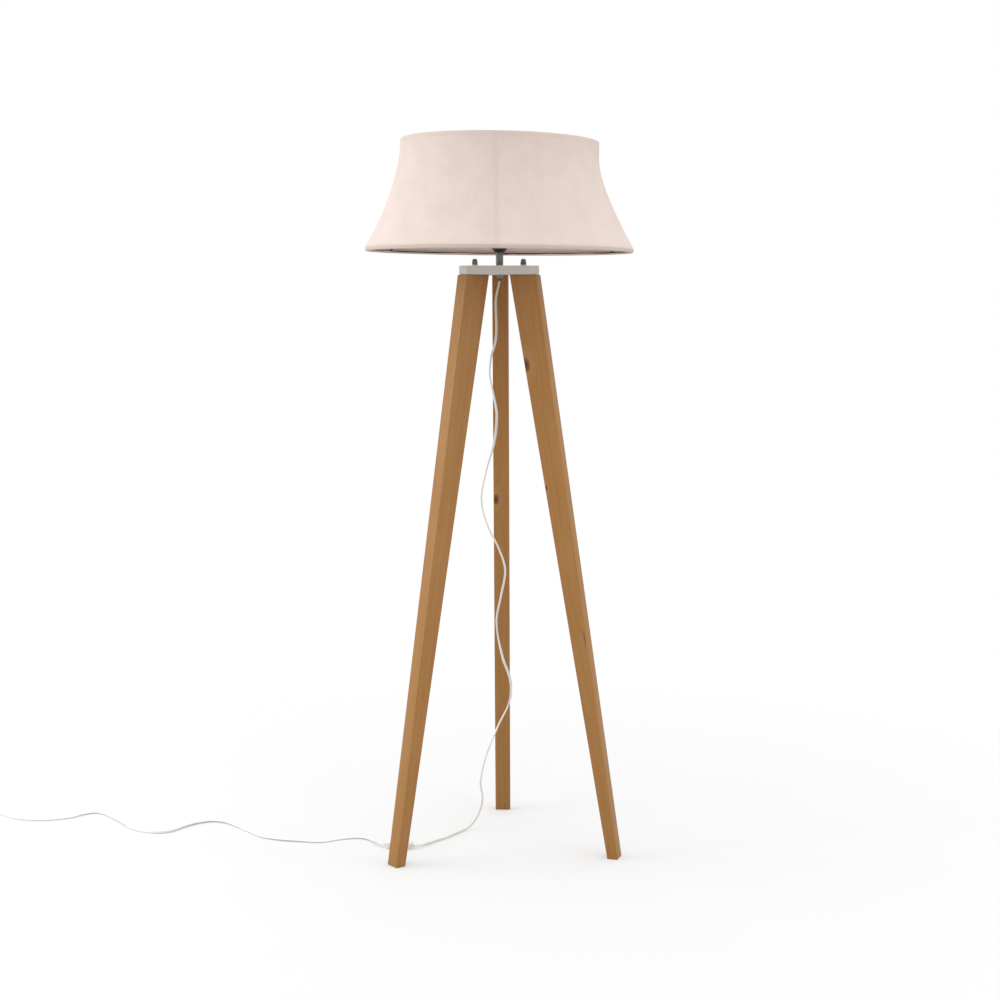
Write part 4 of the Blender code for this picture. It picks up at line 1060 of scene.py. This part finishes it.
def hanging_twist(share):
    """The hanging stretch turns about itself, lands on its edge, and lies flat at the switch."""
    hangs = 1.0 - smooth_share(share, 0.72, 0.88)
    waves = math.pi * (2.6 * (0.88 - share) + 0.35 * math.sin(math.pi * 5.0 * share))
    on_edge = smooth_share(share, 0.72, 0.88) * (1.0 - smooth_share(share, 0.965, 1.0))
    return waves * hangs + 0.5 * math.pi * on_edge


def floor_twist(share):
    """On the floor the lead lies flat, but for one stretch on its edge and a slight roll."""
    on_edge = smooth_share(share, 0.27, 0.36) * (1.0 - smooth_share(share, 0.43, 0.52))
    roll = 0.35 * math.sin(math.pi * 16.0 * share) * (1.0 - smooth_share(share, 0.5, 0.6))
    return 0.5 * math.pi * on_edge + roll * smooth_share(share, 0.0, 0.05)


lead_plastic = moulded_plastic("white_lead", (0.85, 0.84, 0.81), (0.78, 0.77, 0.74),
                               (0.38, 0.50), 0.00004)
white_plastic = moulded_plastic("white_plastic", (0.80, 0.79, 0.76), (0.74, 0.73, 0.70),
                                (0.32, 0.46), 0.00003)
hanging_points, hanging_length = smooth_route(HANGING_ROUTE, LEAD_STEP)
floor_points, floor_length = smooth_route(FLOOR_ROUTE + coil_route() + TAIL_ROUTE, LEAD_STEP)
hanging_shape, hanging_line = lay_lead(hanging_points, hanging_twist)
floor_shape, floor_line = lay_lead(floor_points, floor_twist)
hanging_lead = add_piece("flat_lead_to_switch", hanging_shape, lead_plastic, "base",
                         ["lead_hanging"], 70.0)
floor_lead = add_piece("flat_lead_to_plug", floor_shape, lead_plastic, "base",
                       ["lead_floor", "lead_coil", "lead_tail"], 70.0)
refinish(lead_plastic, "lead_in_stem")

low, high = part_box("lead_bush")
collar_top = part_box("stem_nipple")[0].z - 0.0003
bush_profile = [(0.0, low.z), (0.0034, low.z), (0.0045, collar_top - 0.0014), (0.0045, collar_top),
                (0.0035, collar_top), (0.0035, high.z), (0.0, high.z)]
bush = solid_turned(bush_profile, 0.0004, 48)
grey_plastic = moulded_plastic("grey_plastic", (0.17, 0.17, 0.15), (0.13, 0.13, 0.115),
                               (0.45, 0.60), 0.00004)
add_piece("tapered_bush", bush, grey_plastic, "base", ["lead_bush"])

# ------------------------------------------------------------------------------ the switch
# A two-part white shell, held together by two screws from below, with a dished rocker in a
# window on top. The rocker tilts on its pin and moves a brass blade between two terminals.
SWITCH_LENGTH = 0.058
SWITCH_WIDTH = 0.021
SWITCH_CORNER = 0.0085
ROCKER_LENGTH = 0.020
ROCKER_WIDTH = 0.0095
ROCKER_TILT = math.radians(7.0)
SHELL_EDGE = 0.0010
SHELL_ROUND = 0.0030
WINDOW_CORNER = 0.0010
WINDOW_DEPTH = 0.0034
switch_pivot = joints["switch_rocker_tilt"]
tilt_axis = next(Vector(joint["axis"]) for joint in frame["joints"]
                 if joint["name"] == "switch_rocker_tilt")
switch_along = Vector((-tilt_axis.y, tilt_axis.x, 0.0))
switch_turn = Matrix((switch_along, -tilt_axis, Vector((0.0, 0.0, 1.0)))).transposed().to_4x4()
switch_place = Matrix.Translation((switch_pivot.x, switch_pivot.y, 0.0)) @ switch_turn


def rounded_bar(length, width, corner, bottom, top, steps=10):
    """A bar along X with rounded corners in plan."""
    outline = []
    for quarter in range(4):
        centre_x = (0.5 * length - corner) * (1 if quarter in (0, 3) else -1)
        centre_y = (0.5 * width - corner) * (1 if quarter in (0, 1) else -1)
        for step in range(steps + 1):
            angle = 0.5 * math.pi * (quarter + step / steps)
            outline.append((centre_x + corner * math.cos(angle), centre_y + corner * math.sin(angle)))
    return raised(outline, bottom, top)


def cut_window(shape, length, width, corner, depth):
    """Sink a rounded window into the top of a bar with an inset ring of faces."""
    top = max(shape.faces, key=lambda face: (round(face.calc_center_median().z, 5), face.calc_area()))
    bmesh.ops.inset_individual(shape, faces=[top], thickness=0.0030)
    for point in top.verts:
        x, y = point.co.x, point.co.y
        reach_x, reach_y = 0.5 * length - corner, 0.5 * width - corner
        side = math.atan2(y, x)
        square = Vector((max(-reach_x, min(reach_x, x)), max(-reach_y, min(reach_y, y))))
        point.co.x = square.x + corner * math.cos(side)
        point.co.y = square.y + corner * math.sin(side)
    sunk = bmesh.ops.extrude_discrete_faces(shape, faces=[top])["faces"]
    bmesh.ops.translate(shape, verts=sunk[0].verts, vec=(0.0, 0.0, -depth))


low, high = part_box("switch_lower")
lower_shell = rounded_bar(SWITCH_LENGTH, SWITCH_WIDTH, SWITCH_CORNER, low.z, high.z)
soften(lower_shell, SHELL_EDGE, 3, 60.0)
bmesh.ops.transform(lower_shell, matrix=switch_place, verts=lower_shell.verts)
add_piece("switch_lower_shell", lower_shell, white_plastic, "base",
          ["switch_lower", "switch_terminal_lamp", "switch_terminal_plug"])

low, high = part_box("switch_upper")
upper_shell = rounded_bar(SWITCH_LENGTH, SWITCH_WIDTH, SWITCH_CORNER, low.z, high.z)
rim = [edge for edge in upper_shell.edges
       if edge.calc_face_angle(0.0) > 1.0 and edge.verts[0].co.z > low.z + 0.001]
soften(upper_shell, SHELL_ROUND, 5, edges=rim)
cut_window(upper_shell, ROCKER_LENGTH + 0.0016, ROCKER_WIDTH + 0.0010, WINDOW_CORNER, WINDOW_DEPTH)
bmesh.ops.transform(upper_shell, matrix=switch_place, verts=upper_shell.verts)
add_piece("switch_upper_shell", upper_shell, white_plastic, "base", ["switch_upper"])


def rocker_shape():
    """A rocker with a dished back, tilted to one side about its pin."""
    end, foot, crown, dip = 0.5 * ROCKER_LENGTH, 0.0012, 0.0056, 0.0044
    back_steps = 14
    outline = [(-end, foot), (end, foot)]
    for step in range(back_steps + 1):
        x = 0.95 * end * (1.0 - 2.0 * step / back_steps)
        outline.append((x, dip + (crown - dip) * (x / (0.95 * end)) ** 2))
    shape = raised(outline, -0.5 * ROCKER_WIDTH, 0.5 * ROCKER_WIDTH)
    bmesh.ops.transform(shape, matrix=Matrix.Rotation(0.5 * math.pi, 4, "X"), verts=shape.verts)
    soften(shape, 0.0005, 3, 40.0)
    lifted = Matrix.Translation((0.0, 0.0, switch_pivot.z)) @ Matrix.Rotation(ROCKER_TILT, 4, "Y")
    bmesh.ops.transform(shape, matrix=switch_place @ lifted, verts=shape.verts)
    return shape


add_piece("switch_dished_rocker", rocker_shape(), white_plastic, "rocker",
          ["switch_rocker"])
refinish(brass, "switch_blade")

# -------------------------------------------------------------------------------- the plug
# A flat two-pin plug moulded on to the lead, with a ribbed sleeve behind it that takes the
# bends. The nickel-plated pins are sleeved in plastic for half their length.
low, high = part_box("plug_body")
plug_centre = 0.5 * (low + high)
PLUG_WAIST = 0.62


def plug_body():
    """A flat body, broad at the pins and narrow where the lead comes in."""
    half_width, front, back = 0.5 * (high.x - low.x), low.y, high.y
    length = back - front
    outline = [(-0.93 * half_width, front), (0.93 * half_width, front), (half_width, front + 0.0020),
               (half_width, front + 0.45 * length), (PLUG_WAIST * half_width, front + 0.72 * length),
               (0.40 * half_width, back - 0.0012), (0.30 * half_width, back)]
    mirrored = [(-x, y) for x, y in reversed(outline[2:])]
    points = rounded(outline[1:] + mirrored + outline[:1], 0.0022, 4, True)
    shape = raised([(plug_centre.x + x, y) for x, y in points], low.z, high.z)
    rims = [edge for edge in shape.edges if edge.calc_face_angle(0.0) > 1.0]
    soften(shape, 0.0030, 5, edges=rims)
    return shape


add_piece("plug_moulded_body", plug_body(), white_plastic, "base", ["plug_body"])


def lie_down(shape, place):
    """Turn an upright turned shape to point along -Y from a place."""
    turn = Matrix.Translation(place) @ Matrix.Rotation(0.5 * math.pi, 4, "X")
    bmesh.ops.transform(shape, matrix=turn, verts=shape.verts)
    return shape


pin_metal = metal("pin_metal", (0.70, 0.69, 0.66), (0.60, 0.59, 0.56), (0.18, 0.30), (500.0, 500.0, 500.0))
for side in ("left", "right"):
    low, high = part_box("plug_pin_" + side)
    radius, length = 0.5 * (high.x - low.x), high.y - low.y
    root = Vector((0.5 * (low.x + high.x), high.y, 0.5 * (low.z + high.z)))
    tip = [(radius * math.cos(angle), length - radius + radius * math.sin(angle))
           for angle in (0.5 * math.pi * step / 8 for step in range(9))]
    pin = turned([(0.0, 0.0), (radius, 0.0)] + tip, 32)
    add_piece("nickel_pin_" + side, lie_down(pin, root), pin_metal, "base",
              ["plug_pin_" + side])
    half_sleeve = turned_ring([(radius, 0.0), (radius + 0.0002, 0.0), (radius + 0.0002, 0.5 * length),
                               (radius, 0.5 * length)], 0.0001, 32)
    add_piece("pin_sleeve_" + side, lie_down(half_sleeve, root), black_plastic, "base")

RELIEF_LENGTH = 0.0205
RELIEF_RIBS = 6
low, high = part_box("plug_relief")


def ribbed_sleeve():
    """A tapered sleeve with round ribs, thick at the plug."""
    wide, narrow = 0.5 * (high.x - low.x), 0.0037
    rows = 8 * RELIEF_RIBS
    profile = [(0.0, 0.0)]
    for row in range(rows + 1):
        share = row / rows
        rib = 0.5 - 0.5 * math.cos(2.0 * math.pi * RELIEF_RIBS * share)
        profile.append((wide + (narrow - wide) * share - 0.0007 * rib, RELIEF_LENGTH * share))
    profile.append((0.0, RELIEF_LENGTH))
    shape = turned(profile, 32)
    place = Vector((0.5 * (low.x + high.x), low.y, 0.5 * (low.z + high.z)))
    turn = Matrix.Translation(place) @ Matrix.Rotation(-0.5 * math.pi, 4, "X")
    bmesh.ops.transform(shape, matrix=turn, verts=shape.verts)
    return shape


add_piece("plug_ribbed_sleeve", ribbed_sleeve(), white_plastic, "base",
          ["plug_relief"], 50.0)

# ------------------------------------------------------------------------------ the studio
# A white sweep, a bright room that is darkest in front of the lamp, one large soft light on the
# left and a weaker one on the right, and the camera at chest height.
FLOOR_RADIUS = 9.0
LIGHT_AIM = (0.0, 0.0, 0.9)
LIGHT_SIZE = 2.4
LENS = 62.73


def studio_floor():
    """White paper: lit from above to the camera, pure white further off, and dull as a reflector."""
    finish, tree, shader = new_finish("studio_floor", (0.50, 0.50, 0.50), 0.9)
    shader.inputs["Specular IOR Level"].default_value = 0.0
    distance = add_step(tree, "VectorMath", {0: object_place(tree)}, operation="LENGTH").outputs[1]
    glow = add_step(tree, "Emission", {"Strength": 0.33}).outputs[0]
    near = add_step(tree, "AddShader", {0: shader.outputs[0], 1: glow}).outputs[0]
    far = add_step(tree, "Emission", {"Strength": 1.0}).outputs[0]
    sheet = add_step(tree, "MixShader", {0: share_of(tree, distance, 0.6, 1.7), 1: near, 2: far})
    seen = add_step(tree, "LightPath").outputs["Is Camera Ray"]
    both = add_step(tree, "MixShader", {0: seen, 1: shader.outputs[0], 2: sheet.outputs[0]})
    tree.links.new(both.outputs[0], tree.nodes["Material Output"].inputs[0])
    floor_mesh = bmesh.new()
    bmesh.ops.create_circle(floor_mesh, cap_ends=True, segments=96, radius=FLOOR_RADIUS)
    mesh = bpy.data.meshes.new("studio_floor")
    floor_mesh.to_mesh(mesh)
    floor_mesh.free()
    mesh.materials.append(finish)
    floor = bpy.data.objects.new("studio_floor", mesh)
    bpy.context.scene.collection.objects.link(floor)
    floor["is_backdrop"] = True


def studio_room():
    """White to the camera; as light, brightest overhead and weak at the sides."""
    world = bpy.data.worlds.new("studio_room")
    bpy.context.scene.world = world
    world.use_nodes = True
    tree = world.node_tree
    background = tree.nodes["Background"]
    upwards = add_step(tree, "SeparateXYZ", {0: add_step(tree, "TexCoord").outputs["Generated"]})
    overhead = share_of(tree, upwards.outputs[2], 0.0, 1.0, 0.56, 1.46, soft=False)
    seen = add_step(tree, "LightPath").outputs["Is Camera Ray"]
    strength = add_step(tree, "Mix", {0: seen, 2: overhead, 3: 1.0}).outputs[0]
    tree.links.new(strength, background.inputs["Strength"])
    background.inputs["Color"].default_value = (1.0, 1.0, 1.0, 1.0)


def soft_light(name, place, aim, size, power):
    """A large square light that faces a point."""
    lamp = bpy.data.lights.new(name, "AREA")
    lamp.shape = "SQUARE"
    lamp.size = size
    lamp.energy = power
    light = bpy.data.objects.new(name, lamp)
    light.location = place
    light.rotation_euler = (Vector(aim) - Vector(place)).to_track_quat("-Z", "Y").to_euler()
    bpy.context.scene.collection.objects.link(light)


studio_floor()
studio_room()
soft_light("left_light", (-3.4, -0.4, 1.7), LIGHT_AIM, LIGHT_SIZE, 49.0)
soft_light("right_light", (3.0, -1.5, 1.5), LIGHT_AIM, LIGHT_SIZE, 21.0)
camera_data = bpy.data.cameras.new("camera")
camera_data.lens = LENS
camera_data.sensor_width = 36.0
camera = bpy.data.objects.new("camera", camera_data)
camera.location = (0.1110, -3.6002, 1.1478)
camera.rotation_euler = (math.radians(83.468), 0.0, math.radians(1.75))
bpy.context.scene.collection.objects.link(camera)
bpy.context.scene.camera = camera
bpy.context.scene.view_settings.view_transform = "Standard"

low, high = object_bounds()
